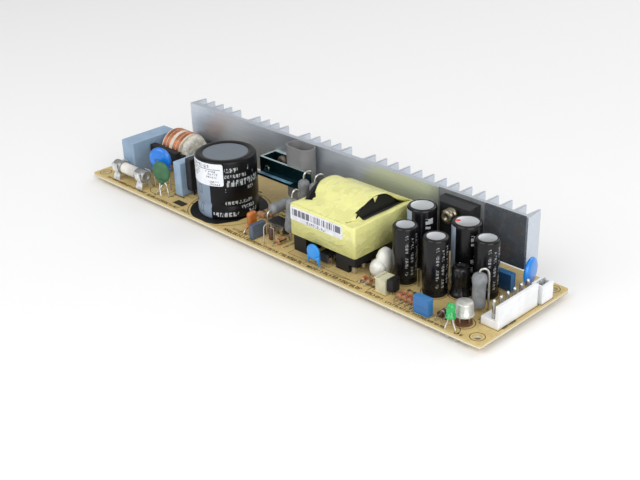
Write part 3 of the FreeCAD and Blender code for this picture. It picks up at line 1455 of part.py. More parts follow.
def make_connectors():
    """Output header, auxiliary header and the round and square pins in them."""
    x = places["header_left"]
    y = size("header_front")
    floor = box("header_floor", ("cells.header_wide", "layout.header_deep", "cells.header_base"),
                at(x, y, 0))
    wall = box("header_back_wall", ("cells.header_wall", "layout.header_deep", "cells.header_tall"),
               at(places["header_right"] - size("header_wall"), y, 0))
    pins = []
    holes = []
    for i in range(HEADER_PIN_COUNT):
        px = x + size("header_pin_inset")
        py = y + size("header_end_space") + i * size("header_pin_pitch")
        pins.append(prism(f"header_pin_{i}", PIN_SIDE_COUNT, "cells.header_pin_radius", at(px, py, 0),
                          at(px, py, size("header_pin_tall"))))
        holes.append(prism(f"header_hole_{i}", PIN_SIDE_COUNT,
                           "cells.header_pin_radius + cells.pin_clearance", at(px, py, -1),
                           at(px, py, size("header_base") + 1)))
        solder(px, py)
    less("output_header", joined("header_moulding", [floor, wall]), holes)
    x = places["auxiliary_left"]
    y = places["auxiliary_front"]
    wall = size("auxiliary_wall")
    block = box("auxiliary_block", ("cells.auxiliary_wide", "cells.auxiliary_deep",
                                    "cells.auxiliary_tall"), at(x, y, 0))
    cuts = [box("auxiliary_socket", ("cells.auxiliary_wide - 2 * cells.auxiliary_wall",
                                     "cells.auxiliary_deep - 2 * cells.auxiliary_wall",
                                     "cells.auxiliary_tall"),
                at(x + wall, y + wall, size("auxiliary_floor")))]
    side = size("auxiliary_pin_size")
    slack = size("pin_clearance")
    first = size("auxiliary_deep") / 2 - (AUXILIARY_PIN_COUNT - 1) / 2 * size("auxiliary_pitch")
    for i in range(AUXILIARY_PIN_COUNT):
        px = x + size("auxiliary_wide") / 2
        py = y + first + i * size("auxiliary_pitch")
        pins.append(box(f"auxiliary_pin_{i}", ("cells.auxiliary_pin_size", "cells.auxiliary_pin_size",
                                               "cells.auxiliary_pin_tall"),
                        at(px - side / 2, py - side / 2, 0)))
        cuts.append(box(f"auxiliary_hole_{i}", ("cells.auxiliary_pin_size + 2 * cells.pin_clearance",
                                                "cells.auxiliary_pin_size + 2 * cells.pin_clearance",
                                                "cells.auxiliary_tall"),
                        at(px - side / 2 - slack, py - side / 2 - slack, -1)))
        solder(px, py)
    less("auxiliary_header", block, cuts)
    grouped("header_pins", pins)


def make_output_rectifier():
    """Rectifier screwed to the sink over a soft pad, and the bare insulating sheet beside."""
    pad_low = places["pad_top"] - size("pad_tall")
    pad_y = places["sink_front"] - size("pad_thick")
    x = places["rectifier_x"]
    z = places["rectifier_screw_z"]
    hole = "cells.screw_shank_radius + cells.screw_hole_clearance"
    pad = box("pad_sheet", ("cells.pad_wide", "cells.pad_thick", "cells.pad_tall"),
              at(places["pad_right"] - size("pad_wide"), pad_y, pad_low))
    less("rectifier_pad", pad, [rod("pad_hole", hole, at(x, pad_y - 1, z), at(x, pad_y + 1, z))])
    sheet_at = at(places["pad_right"] + size("sheet_gap"), places["sink_front"] - size("sheet_thick"),
                  size("sink_lift"))
    sheet = box("insulating_sheet", ("layout.sheet_wide", "cells.sheet_thick", "cells.sheet_tall"),
                sheet_at)
    named(sheet, "insulating_sheet")
    moulding = box("rectifier_moulding", ("cells.rectifier_wide", "cells.rectifier_deep",
                                          "cells.rectifier_tall"),
                   at(places["rectifier_right"] - size("rectifier_wide"), places["rectifier_face"],
                      places["rectifier_bottom"]))
    doc.recompute()
    front = moulding.Shape.BoundBox.YMin
    edges = [i for i, e in enumerate(moulding.Shape.Edges, start=1)
             if max(v.Y for v in e.Vertexes) < front + 0.1]
    body = chamfered("rectifier_bevelled", moulding, size("rectifier_bevel"), edges)
    leads = []
    middle = places["rectifier_face"] + size("rectifier_deep") / 2
    for i in (-1, 0, 1):
        lx = x + i * size("rectifier_lead_pitch")
        leads.append(box(f"rectifier_lead_{i + 1}", ("cells.rectifier_lead_wide",
                                                     "cells.rectifier_lead_sheet",
                                                     "layout.rectifier_bottom + cells.case_edge"),
                         at(lx - size("rectifier_lead_wide") / 2, middle, 0)))
        solder(lx, middle + size("rectifier_lead_sheet") / 2)
    whole = joined("rectifier_whole", [body] + leads)
    bore = rod("rectifier_hole", hole, at(x, places["rectifier_face"] - 1, z),
               at(x, places["sink_front"], z))
    less("output_rectifier", whole, [bore])
    screw("rectifier_screw", x, places["rectifier_face"], z, size("rectifier_head_tall"))
    x = places["disc_cap_x"]
    y = places["disc_cap_y"]
    heading = size("disc_cap_heading")
    half = size("disc_cap_pitch") / 2
    along = Vector(math.cos(math.radians(heading)), math.sin(math.radians(heading)), 0)
    disc_part("output_disc_capacitor", (x, y, size("disc_cap_rise")), "disc_cap_radius",
              "disc_cap_thick", [(side * half, x + side * half * along.x, y + side * half * along.y)
                                 for side in (-1, 1)], heading)


def make_solder_joints():
    """Stub of solder below the board for every lead, slimmer where leads are close."""
    stubs = []
    for i, (x, y) in enumerate(SOLDER_POINTS):
        near = min(math.dist((x, y), other) for j, other in enumerate(SOLDER_POINTS) if j != i)
        wide = near > 2 * size("solder_radius")
        stub = doc.addObject("Part::Prism", f"solder_{i}")
        stub.Polygon = SOLDER_SIDE_COUNT
        radius = "cells.solder_radius" if wide else "cells.fine_solder_radius"
        bind(stub, Circumradius=radius, Height="cells.solder_drop")
        stub.Placement = Placement(at(x, y, -TOP), LEVEL)
        stubs.append(stub)
    grouped("solder_joints", stubs)


def make_all():
    """Make every part of the supply, the solder last since it follows the leads."""
    make_board()
    make_heatsink()
    make_input_parts()
    make_line_choke()
    make_mains_discs()
    make_rectifier_and_film()
    make_transistor_group()
    make_control_parts()
    make_small_axials()
    make_transformer()
    make_barrier_parts()
    make_output_front()
    make_output_cans()
    make_connectors()
    make_output_rectifier()
    make_solder_joints()


NODES = (
    "circuit_board", "solder_joints", "heatsink", "heatsink_pins", "fuse", "fuse_clips",
    "input_film_capacitor", "line_choke_core", "line_choke_bobbin", "line_choke_windings",
    "line_choke_adhesive", "surge_varistor", "inrush_thermistor", "line_film_capacitor",
    "bridge_rectifier", "bulk_capacitor", "switching_transistor", "transistor_sleeve",
    "transistor_clamp", "clamp_screw", "orange_film_capacitor", "control_film_capacitor",
    "control_ic", "snubber_resistor_1", "snubber_resistor_2", "snubber_resistor_3",
    "startup_resistor", "small_diodes", "axial_resistors", "transformer_core",
    "transformer_bobbin", "transformer_winding", "transformer_tape", "transformer_pins",
    "safety_capacitor", "feedback_optocoupler", "adhesive_bead", "isolating_coupler",
    "shunt_regulator", "output_capacitor_1", "output_capacitor_2", "output_capacitor_3",
    "output_capacitor_4", "output_capacitor_5", "output_choke", "load_resistor",
    "output_film_capacitor_front", "output_film_capacitor_rear", "indicator_led",
    "metal_can_transistor", "transistor_spacer", "output_header", "auxiliary_header",
    "header_pins", "rectifier_pad", "insulating_sheet", "output_rectifier", "rectifier_screw",
    "output_disc_capacitor",
)


def check_and_export():
    """Stop on any broken object, then write one file for each node."""
    doc.recompute()
    for thing in doc.Objects:
        broken = [state for state in thing.State if state in ("Invalid", "Error")]
        if broken:
            raise RuntimeError(f"{thing.Name} is {broken}")
    for node in NODES:
        piece = doc.getObjectsByLabel(node)[0]
        if piece.Shape.isNull() or not piece.Shape.isValid():
            raise RuntimeError(f"{node} has no sound shape")
        piece.Shape.exportStep(os.path.join("parts", f"{node}.step"))


os.makedirs("parts", exist_ok=True)
make_all()
check_and_export()
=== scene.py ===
"""Looks of an open frame power supply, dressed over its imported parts.

Lengths are millimetres measured from the board's left front corner: x runs to the output
end, y to the heat sink and z up from the board's top face. The bench class turns them into
the frame's metres.
"""

from __future__ import annotations

import logging
import math
import random
from dataclasses import dataclass, field
from enum import Enum

import bmesh
import bpy
from mathutils import Matrix, Vector, noise

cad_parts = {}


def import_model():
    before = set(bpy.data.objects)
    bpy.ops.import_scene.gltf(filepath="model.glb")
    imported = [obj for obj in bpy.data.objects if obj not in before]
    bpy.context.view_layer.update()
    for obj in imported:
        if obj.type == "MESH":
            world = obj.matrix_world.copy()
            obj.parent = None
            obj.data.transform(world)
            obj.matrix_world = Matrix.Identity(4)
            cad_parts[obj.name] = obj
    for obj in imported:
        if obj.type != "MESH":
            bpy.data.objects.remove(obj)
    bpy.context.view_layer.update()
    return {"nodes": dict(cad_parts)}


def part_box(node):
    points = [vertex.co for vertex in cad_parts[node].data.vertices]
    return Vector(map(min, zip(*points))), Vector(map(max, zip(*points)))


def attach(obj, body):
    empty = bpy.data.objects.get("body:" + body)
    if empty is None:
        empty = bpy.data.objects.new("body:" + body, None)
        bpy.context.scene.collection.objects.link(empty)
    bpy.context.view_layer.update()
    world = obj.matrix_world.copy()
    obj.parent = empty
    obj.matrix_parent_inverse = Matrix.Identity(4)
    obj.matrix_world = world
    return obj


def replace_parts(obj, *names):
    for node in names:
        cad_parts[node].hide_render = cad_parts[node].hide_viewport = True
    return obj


LOG = logging.getLogger("power_supply")

Colour = tuple[float, float, float]
Number = "Field | float"
Point = tuple[float, float, float]

METRE = 0.001
BODY = "root"


class Axis(Enum):
    """Direction that a turned piece's axis lies along."""

    X = 0
    Y = 1
    Z = 2


@dataclass
class Bench:
    """Turns board millimetres into the frame's metres and hangs pieces on the frame."""

    corner: Vector = field(default_factory=Vector)
    nodes: dict[str, bpy.types.Object] = field(default_factory=dict)

    def settle(self, nodes: dict[str, bpy.types.Object]) -> None:
        """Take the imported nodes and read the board's place from them."""
        self.nodes = nodes
        low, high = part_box("circuit_board")
        self.corner = Vector((low.x, low.y, high.z))

    def dress(self, node: str, finish: "Finish") -> None:
        """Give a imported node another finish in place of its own."""
        thing = self.nodes[node]
        thing.data.materials.clear()
        thing.data.materials.append(finish.material())
        LOG.info("node %s: %s", node, finish.name)

    def row(self, x: float, y: float, z: float) -> Vector:
        """Turn one place on the board into the frame's metres.

        Args:
            x: Millimetres from the left end.
            y: Millimetres from the front edge.
            z: Millimetres above the top face.

        Returns:
            The place in metres.
        """
        return self.corner + Vector((x, y, z)) * METRE

    def box(self, node: str) -> tuple[Vector, Vector]:
        """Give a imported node's lowest and highest corners in board millimetres."""
        low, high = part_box(node)
        return (low - self.corner) / METRE, (high - self.corner) / METRE

    def piece(self, name: str, form: bmesh.types.BMesh, finish: "Finish", slot: str,
              smooth: bool = False) -> bpy.types.Object:
        """Make an object of a mesh given in board millimetres, finished and carried.

        Args:
            name: Name of the new object.
            form: Its mesh, in board millimetres; it is freed.
            finish: What it is finished with.
            slot: Material slot of the record that it stands for; not used.
            smooth: Whether its faces are shaded smooth.

        Returns:
            The new object.
        """
        bmesh.ops.transform(form, matrix=Matrix.Translation(self.corner) @ Matrix.Scale(METRE, 4),
                            verts=form.verts)
        mesh = bpy.data.meshes.new(name)
        form.to_mesh(mesh)
        form.free()
        thing = bpy.data.objects.new(name, mesh)
        bpy.context.scene.collection.objects.link(thing)
        if smooth:
            mesh.shade_smooth()
        mesh.materials.append(finish.material())
        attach(thing, BODY)
        LOG.info("piece %s: %d faces", name, len(mesh.polygons))
        return thing

    def leads(self, name: str, form: bmesh.types.BMesh) -> None:
        """Make a piece of bare tinned wire."""
        self.piece(name, form, TINNED, "tinned_metal", smooth=True)


BENCH = Bench()


class Field:
    """A shader value that adds its own Math nodes when it is used in an expression."""

    def __init__(self, shader: "Shader", socket: bpy.types.NodeSocket) -> None:
        """Wrap an output socket of the shader."""
        self.shader = shader
        self.socket = socket

    def _math(self, operation: str, *values: Number) -> "Field":
        """Add a Math node that takes this value and others."""
        node = self.shader.node("ShaderNodeMath", {"operation": operation}, dict(enumerate(values)))
        return Field(self.shader, node.outputs[0])

    def __add__(self, other: Number) -> "Field":
        """Sum."""
        return self._math("ADD", self, other)

    __radd__ = __add__

    def __sub__(self, other: Number) -> "Field":
        """Difference."""
        return self._math("SUBTRACT", self, other)

    def __rsub__(self, other: Number) -> "Field":
        """Difference with this value taken away."""
        return self._math("SUBTRACT", other, self)

    def __mul__(self, other: Number) -> "Field":
        """Product."""
        return self._math("MULTIPLY", self, other)

    __rmul__ = __mul__

    def __truediv__(self, other: Number) -> "Field":
        """Quotient."""
        return self._math("DIVIDE", self, other)

    def over(self, limit: Number) -> "Field":
        """One where the value is above the limit, else nought."""
        return self._math("GREATER_THAN", self, limit)

    def under(self, limit: Number) -> "Field":
        """One where the value is below the limit, else nought."""
        return self._math("LESS_THAN", self, limit)

    def between(self, low: float, high: float) -> "Field":
        """One where the value lies between two limits, else nought."""
        return self.over(low) * self.under(high)

    def floor(self) -> "Field":
        """Whole part."""
        return self._math("FLOOR", self)

    def part(self) -> "Field":
        """Part after the point."""
        return self._math("FRACT", self)

    def size(self) -> "Field":
        """Value without its sign."""
        return self._math("ABSOLUTE", self)

    def root(self) -> "Field":
        """Square root."""
        return self._math("SQRT", self)

    def bearing(self, other: Number) -> "Field":
        """Angle whose sine runs with this value and cosine with the other."""
        return self._math("ARCTAN2", self, other)

    def either(self, other: Number) -> "Field":
        """The greater of two masks."""
        return self._math("MAXIMUM", self, other)

    def ease(self, low: float, high: float) -> "Field":
        """Rise smoothly from nought at one limit to one at the other."""
        node = self.shader.node("ShaderNodeMapRange", {"interpolation_type": "SMOOTHSTEP"},
                                {"Value": self, "From Min": low, "From Max": high})
        return Field(self.shader, node.outputs["Result"])


class Shader:
    """A material's node tree, filled through expressions."""

    def __init__(self, name: str) -> None:
        """Start a material with one Principled shader."""
        self.material = bpy.data.materials.new(name)
        self.material.use_nodes = True
        self.tree = self.material.node_tree
        self.surface = self.tree.nodes["Principled BSDF"]
        self._place: tuple[Field, Field, Field] | None = None
        self._vector: bpy.types.NodeSocket | None = None

    def node(self, kind: str, settings: dict[str, object],
             inputs: dict[object, object]) -> bpy.types.Node:
        """Add one node.

        Args:
            kind: Blender's node type.
            settings: Properties to set before the sockets.
            inputs: Values, fields or sockets by socket name or index.

        Returns:
            The new node.
        """
        node = self.tree.nodes.new(kind)
        for key, value in settings.items():
            setattr(node, key, value)
        for key, value in inputs.items():
            self.feed(node.inputs[key], value)
        return node

    def feed(self, socket: bpy.types.NodeSocket, value: object) -> None:
        """Set a socket to a number or colour, or link a field or socket to it.

        Args:
            socket: The input to fill.
            value: A number, colour, field or output socket.
        """
        if isinstance(value, Field):
            value = value.socket
        if isinstance(value, bpy.types.NodeSocket):
            self.tree.links.new(value, socket)
        elif isinstance(value, tuple) and len(value) == 3 and socket.type == "RGBA":
            socket.default_value = (*value, 1.0)
        else:
            socket.default_value = value

    def vector(self) -> bpy.types.NodeSocket:
        """Give the point being shaded in board millimetres as a vector socket."""
        if self._vector is None:
            coords = self.node("ShaderNodeTexCoord", {}, {})
            moved = self.node("ShaderNodeVectorMath", {"operation": "SUBTRACT"},
                              {0: coords.outputs["Object"], 1: tuple(BENCH.corner)})
            scaled = self.node("ShaderNodeVectorMath", {"operation": "SCALE"},
                               {0: moved.outputs["Vector"], "Scale": 1 / METRE})
            self._vector = scaled.outputs["Vector"]
        return self._vector

    def place(self) -> tuple[Field, Field, Field]:
        """Give x, y and z in board millimetres as three fields."""
        if self._place is None:
            split = self.node("ShaderNodeSeparateXYZ", {}, {0: self.vector()})
            self._place = tuple(Field(self, out) for out in split.outputs)
        return self._place

    def noise(self, size: float, stretch: Point = (1, 1, 1), detail: float = 3.0) -> Field:
        """Give soft noise about one half.

        Args:
            size: Width of a patch in millimetres.
            stretch: How much longer the patches are along each axis.
            detail: How many finer layers it has.

        Returns:
            The noise as a field.
        """
        scale = tuple(1 / (size * s) for s in stretch)
        moved = self.node("ShaderNodeVectorMath", {"operation": "MULTIPLY"},
                          {0: self.vector(), 1: scale})
        texture = self.node("ShaderNodeTexNoise", {}, {"Vector": moved.outputs["Vector"],
                                                       "Scale": 1.0, "Detail": detail})
        return Field(self, texture.outputs["Fac"])

    def speckle(self, along: Number, row: Number = 0.0) -> Field:
        """Give one random number for each whole step along a field and each row.

        Args:
            along: Field whose whole steps each get a number.
            row: Picks another run of numbers.

        Returns:
            The numbers as a field.
        """
        joined = self.node("ShaderNodeCombineXYZ", {}, {"X": along.floor(), "Y": row})
        texture = self.node("ShaderNodeTexWhiteNoise", {"noise_dimensions": "3D"},
                            {"Vector": joined.outputs[0]})
        return Field(self, texture.outputs["Value"])

    def glyphs(self, u: Field, v: Field, pitch: float, rows: tuple[float, float],
               seed: float = 0.0) -> Field:
        """Give one on blocky marks that stand for a row of letters.

        Args:
            u: Distance along the row.
            v: Distance across the row.
            pitch: Width of a letter with its gap.
            rows: Where the row starts and ends across.
            seed: Picks the row's own marks.

        Returns:
            The mask of the marks.
        """
        low, high = rows
        cell = (u / pitch).part().between(0.08, 0.8)
        level = ((v - low) * (3.0 / (high - low))).floor()
        dots = self.speckle(u * (4.0 / pitch), level + seed).over(0.4)
        return cell * dots * v.between(low, high)

    def blend(self, mask: Number, under: object, over: object) -> bpy.types.NodeSocket:
        """Lay one colour over another where the mask is one.

        Args:
            mask: Share of the upper colour.
            under: Lower colour.
            over: Upper colour.

        Returns:
            The blended colour.
        """
        node = self.node("ShaderNodeMix", {"data_type": "RGBA"}, {0: mask, 6: under, 7: over})
        return node.outputs[2]

    def raise_by(self, height: Field, depth: float) -> None:
        """Bump the surface by a field that is worth depth millimetres."""
        node = self.node("ShaderNodeBump", {}, {"Height": height, "Distance": depth * METRE,
                                                "Strength": 1.0})
        self.feed(self.surface.inputs["Normal"], node.outputs["Normal"])

    def set(self, name: str, value: object) -> None:
        """Set or link one of the surface shader's sockets."""
        self.feed(self.surface.inputs[name], value)


@dataclass(frozen=True)
class Finish:
    """Moulded, coated or metal finish with a faint mottle and a grain."""

    name: str
    colour: Colour
    roughness: float = 0.5
    metallic: float = 0.0
    mottle: float = 0.10
    patch: float = 4.0
    grain: float = 0.35
    depth: float = 0.01
    coat: float = 0.0
    specular: float = 0.5

    def material(self) -> bpy.types.Material:
        """Give this finish's material, made on first use."""
        title = f"{self.name}_finish"
        known = bpy.data.materials.get(title)
        if known:
            return known
        shader = Shader(title)
        if self.coat:
            shader.set("Coat Weight", self.coat)
            shader.set("Coat Roughness", 0.12)
        shader.set("Specular IOR Level", self.specular)
        self.paint(shader)
        return shader.material

    def tone(self, shader: Shader) -> bpy.types.NodeSocket:
        """Give the base colour with its mottle."""
        dark = tuple(max(0.0, c * (1 - self.mottle)) for c in self.colour)
        pale = tuple(min(1.0, c * (1 + self.mottle)) for c in self.colour)
        return shader.blend(shader.noise(self.patch).ease(0.35, 0.65), dark, pale)

    def worn(self, shader: Shader, patch: float, amount: float) -> None:
        """Set the roughness, drifting by an amount over patches of a width."""
        drift = (shader.noise(patch) - 0.5) * amount
        shader.set("Roughness", self.roughness + drift)

    def paint(self, shader: Shader) -> None:
        """Fill the surface shader."""
        shader.set("Base Color", self.tone(shader))
        shader.set("Metallic", self.metallic)
        self.worn(shader, self.patch * 0.6, 0.12)
        shader.raise_by(shader.noise(self.grain), self.depth)


@dataclass(frozen=True)
class Region:
    """Box in board millimetres that a coating fills; the rest of the piece is bare lead."""

    low: Point
    high: Point

    def mask(self, shader: Shader) -> Field:
        """Give one inside the box and nought outside."""
        masks = [axis.between(a, b) for axis, a, b in zip(shader.place(), self.low, self.high)]
        return masks[0] * masks[1] * masks[2]


@dataclass(frozen=True)
class Leaded(Finish):
    """Coated part whose leads, outside the coated regions, are bare tinned wire."""

    regions: tuple[Region, ...] = ()
    lead: Colour = (0.62, 0.60, 0.56)
    lead_roughness: float = 0.28

    def coated(self, shader: Shader) -> Field:
        """Give one on the coating and nought on the leads."""
        mask = self.regions[0].mask(shader)
        for region in self.regions[1:]:
            mask = mask.either(region.mask(shader))
        return mask

    def decorate(self, shader: Shader, colour: bpy.types.NodeSocket) -> bpy.types.NodeSocket:
        """Lay bands or print over the coating's colour; plain here."""
        return colour

    def paint(self, shader: Shader) -> None:
        """Fill the surface shader, coating and leads apart."""
        body = self.coated(shader)
        coat = self.decorate(shader, self.tone(shader))
        shader.set("Base Color", shader.blend(body, self.lead, coat))
        shader.set("Metallic", 1 - body * (1 - self.metallic))
        drift = (shader.noise(self.patch * 0.6) - 0.5) * 0.12
        shader.set("Roughness", body * (self.roughness - self.lead_roughness) + drift
                   + self.lead_roughness)
        shader.raise_by(shader.noise(self.grain), self.depth)


@dataclass(frozen=True)
class Banded(Leaded):
    """Small resistors with colour bands round their bodies."""

    bands: tuple[tuple[float, Colour], ...] = ()
    band_wide: float = 0.45
    along: Axis = Axis.Y

    def decorate(self, shader: Shader, colour: bpy.types.NodeSocket) -> bpy.types.NodeSocket:
        """Lay the bands over the body colour.

        Args:
            shader: The shader being filled.
            colour: The body colour.

        Returns:
            The colour with its bands.
        """
        run = shader.place()[self.along.value]
        for middle, band in self.bands:
            mask = run.between(middle - self.band_wide / 2, middle + self.band_wide / 2)
            colour = shader.blend(mask, colour, band)
        return colour


@dataclass(frozen=True)
class PrintRow:
    """One row of print round a can: its heights, letter width, angles and seed."""

    low: float
    high: float
    pitch: float
    start: float
    end: float
    seed: float = 0.0


@dataclass(frozen=True)
class CanSleeve(Finish):
    """Printed shrink sleeve of a round capacitor with a bare aluminium top."""

    centre: tuple[float, float] = (0.0, 0.0)
    radius: float = 4.55
    high: float = 22.0
    top_lip: float = 1.0
    top_colour: Colour = (0.62, 0.65, 0.69)
    stripe: tuple[float, float] | None = None
    stripe_colour: Colour = (0.30, 0.37, 0.46)
    rows: tuple[PrintRow, ...] = ()
    column_arc: tuple[float, float] = (-66.0, -6.0)
    column_span: tuple[float, float] = (3.0, 20.0)
    columns: int = 3
    letter: float = 1.3
    ink: Colour = (0.36, 0.37, 0.37)
    dot: float | None = None

    def paint(self, shader: Shader) -> None:
        """Fill the surface shader: sleeve, stripe, print and top."""
        x, y, z = shader.place()
        dx = x - self.centre[0]
        dy = y - self.centre[1]
        out = (dx * dx + dy * dy).root()
        turn = dy.bearing(dx) * (180 / math.pi)
        wall = out.over(self.radius - 0.5) * z.under(self.high - 0.5)
        colour = self.tone(shader)
        colour = shader.blend(self.print_mask(shader, turn, z) * wall, colour, self.ink)
        if self.stripe:
            colour = self.striped(shader, colour, turn, z)
        edge = shader.noise(1.2) * 0.25
        top = (out + edge).under(self.radius - self.top_lip + 0.12) * z.over(self.high - 1.2)
        colour = shader.blend(top, colour, self.top_colour)
        if self.dot is not None:
            colour = self.dotted(shader, colour, x, y, top)
        shader.set("Base Color", colour)
        shader.set("Metallic", top * 0.45)
        drift = (shader.noise(3.0) - 0.5) * 0.10
        shader.set("Roughness", top * 0.1 + drift + self.roughness)
        cross = dx.size().under(0.14).either(dy.size().under(0.14)) * top
        cross = cross * out.under(self.radius * 0.62)
        shader.raise_by(shader.noise(0.9) * 0.25 - cross, 0.12)

    def striped(self, shader: Shader, colour: bpy.types.NodeSocket, turn: Field,
                z: Field) -> bpy.types.NodeSocket:
        """Lay the polarity stripe and its minus marks over the sleeve.

        Args:
            shader: The shader being filled.
            colour: The sleeve's colour.
            turn: Angle round the can in degrees.
            z: Height above the board.

        Returns:
            The striped colour.
        """
        start, end = self.stripe
        wrapped = turn + turn.under(0.0) * 360.0
        colour = shader.blend(wrapped.between(start, end) * z.under(self.high - 0.9), colour,
                              self.stripe_colour)
        middle = (start + end) / 2
        across = (wrapped - middle).size()
        mark = across.under(5.0) * (z / 8.3).part().between(0.26, 0.72)
        inner = across.under(2.6) * (z / 8.3).part().between(0.31, 0.67)
        return shader.blend((mark - inner) * z.under(self.high - 2.0), colour,
                            tuple(c * 0.5 for c in self.stripe_colour))

    def dotted(self, shader: Shader, colour: bpy.types.NodeSocket, x: Field, y: Field,
               top: Field) -> bpy.types.NodeSocket:
        """Lay a ragged red dot of locking paint on the top.

        Args:
            shader: The shader being filled.
            colour: The colour so far.
            x: Place along the board.
            y: Place across the board.
            top: Mask of the can's top.

        Returns:
            The dotted colour.
        """
        px = x - self.centre[0] - (self.radius - 2.1) * math.cos(math.radians(self.dot))
        py = y - self.centre[1] - (self.radius - 2.1) * math.sin(math.radians(self.dot))
        ragged = (px * px + py * py).root() + (shader.noise(0.8) - 0.5) * 0.8
        return shader.blend(top * ragged.under(0.95), colour, (0.72, 0.04, 0.03))

    def print_mask(self, shader: Shader, turn: Field, z: Field) -> Field:
        """Give one on the marks that stand for print, in rows round the can or columns up it.

        Args:
            shader: The shader being filled.
            turn: Angle round the can in degrees.
            z: Height above the board.

        Returns:
            The mask of the print.
        """
        arc = turn * (self.radius * math.pi / 180)
        mask: Field | None = None
        for row in self.rows:
            letters = shader.glyphs(arc, z, row.pitch, (row.low, row.high), row.seed)
            word = shader.speckle(arc / (row.pitch * 2.6), row.seed + 20.0).over(0.25)
            letters = letters * word * turn.between(row.start, row.end)
            mask = letters if mask is None else mask.either(letters)
        if mask is not None:
            return mask
        start, end = self.column_arc
        step = (end - start) / self.columns
        across = ((turn - start) / step).part()
        column = ((turn - start) / step).floor()
        run = z + column * 3.7
        letters = shader.glyphs(run, across, self.letter, (0.22, 0.74), 5.0)
        group = (run / (self.letter * 4.4)).part().over(0.24)
        return letters * group * turn.between(start, end) * z.between(*self.column_span)


def turned(profile: list[tuple[float, float]], centre: Point, axis: Axis = Axis.Z,
           steps: int = 48) -> bmesh.types.BMesh:
    """Spin an outline of (radius, height) points about an axis.

    Args:
        profile: Outline from one end of the axis to the other.
        centre: Where the axis starts, in board millimetres.
        axis: Direction of the axis.
        steps: Facets round it.

    Returns:
        The closed form.
    """
    form = bmesh.new()
    points = [form.verts.new((r, 0, h)) for r, h in profile]
    edges = [form.edges.new(pair) for pair in zip(points, points[1:])]
    bmesh.ops.spin(form, geom=points + edges, axis=(0, 0, 1), cent=(0, 0, 0), angle=math.tau,
                   steps=steps, use_merge=True)
    bmesh.ops.remove_doubles(form, verts=form.verts, dist=1e-4)
    bmesh.ops.recalc_face_normals(form, faces=form.faces)
    spin = {Axis.X: Matrix.Rotation(math.pi / 2, 4, "Y"),
            Axis.Y: Matrix.Rotation(-math.pi / 2, 4, "X"),
            Axis.Z: Matrix.Identity(4)}[axis]
    bmesh.ops.transform(form, matrix=Matrix.Translation(centre) @ spin, verts=form.verts)
    return form


def block(low: Point, high: Point) -> bmesh.types.BMesh:
    """Make a box between two corners given in board millimetres.

    Args:
        low: Its lowest corner.
        high: Its highest corner.

    Returns:
        The closed form.
    """
    form = bmesh.new()
    bmesh.ops.create_cube(form, size=1.0)
    span = Vector(high) - Vector(low)
    bmesh.ops.scale(form, vec=span, verts=form.verts)
    bmesh.ops.translate(form, vec=Vector(low) + span / 2, verts=form.verts)
    return form


def whole(form: bmesh.types.BMesh) -> list[object]:
    """List all of a form's points, edges and faces."""
    return [*form.verts, *form.edges, *form.faces]


def soften(form: bmesh.types.BMesh, width: float, edges: list[bmesh.types.BMEdge] | None = None,
           segments: int = 3) -> None:
    """Round the edges of a form; all of them unless some are given.

    Args:
        form: The form.
        width: Width of the rounding.
        edges: Edges to round, or none for all.
        segments: Facets across the rounding.
    """
    bmesh.ops.bevel(form, geom=edges or list(form.edges), offset=width, offset_type="OFFSET",
                    affect="EDGES", segments=segments, profile=0.5, material=-1, clamp_overlap=True)


def gather(form: bmesh.types.BMesh, part: bmesh.types.BMesh) -> bmesh.types.BMesh:
    """Move another form's mesh into a form and give the form back.

    Args:
        form: The form that grows.
        part: The form that is emptied and freed.

    Returns:
        The grown form.
    """
    scratch = bpy.data.meshes.new("scratch")
    part.to_mesh(scratch)
    part.free()
    form.from_mesh(scratch)
    bpy.data.meshes.remove(scratch)
    return form


def rounded_block(low: Point, high: Point, width: float, segments: int = 3) -> bmesh.types.BMesh:
    """Make a box with all its edges rounded.

    Args:
        low: Its lowest corner.
        high: Its highest corner.
        width: Width of the rounding.
        segments: Facets across the rounding.

    Returns:
        The closed form.
    """
    form = block(low, high)
    soften(form, width, segments=segments)
    return form


def wire(points: list[Point], radius: float, bend: int = 3) -> bmesh.types.BMesh:
    """Make a round wire that follows a smooth line.

    Args:
        points: Control points of the line, in board millimetres.
        radius: Half the wire's thickness.
        bend: Order of the line; two keeps straight runs.

    Returns:
        The closed form.
    """
    curve = bpy.data.curves.new("wire", "CURVE")
    curve.dimensions = "3D"
    curve.bevel_depth = radius
    curve.bevel_resolution = 2
    curve.use_fill_caps = True
    spline = curve.splines.new("NURBS")
    spline.points.add(len(points) - 1)
    for control, point in zip(spline.points, points):
        control.co = (*point, 1.0)
    spline.order_u = min(bend, len(points))
    spline.use_endpoint_u = True
    spline.resolution_u = 6
    carrier = bpy.data.objects.new("wire", curve)
    mesh = bpy.data.meshes.new_from_object(carrier)
    form = bmesh.new()
    form.from_mesh(mesh)
    bpy.data.objects.remove(carrier)
    bpy.data.curves.remove(curve)
    bpy.data.meshes.remove(mesh)
    bmesh.ops.remove_doubles(form, verts=form.verts, dist=1e-4)
    bmesh.ops.recalc_face_normals(form, faces=form.faces)
    return form


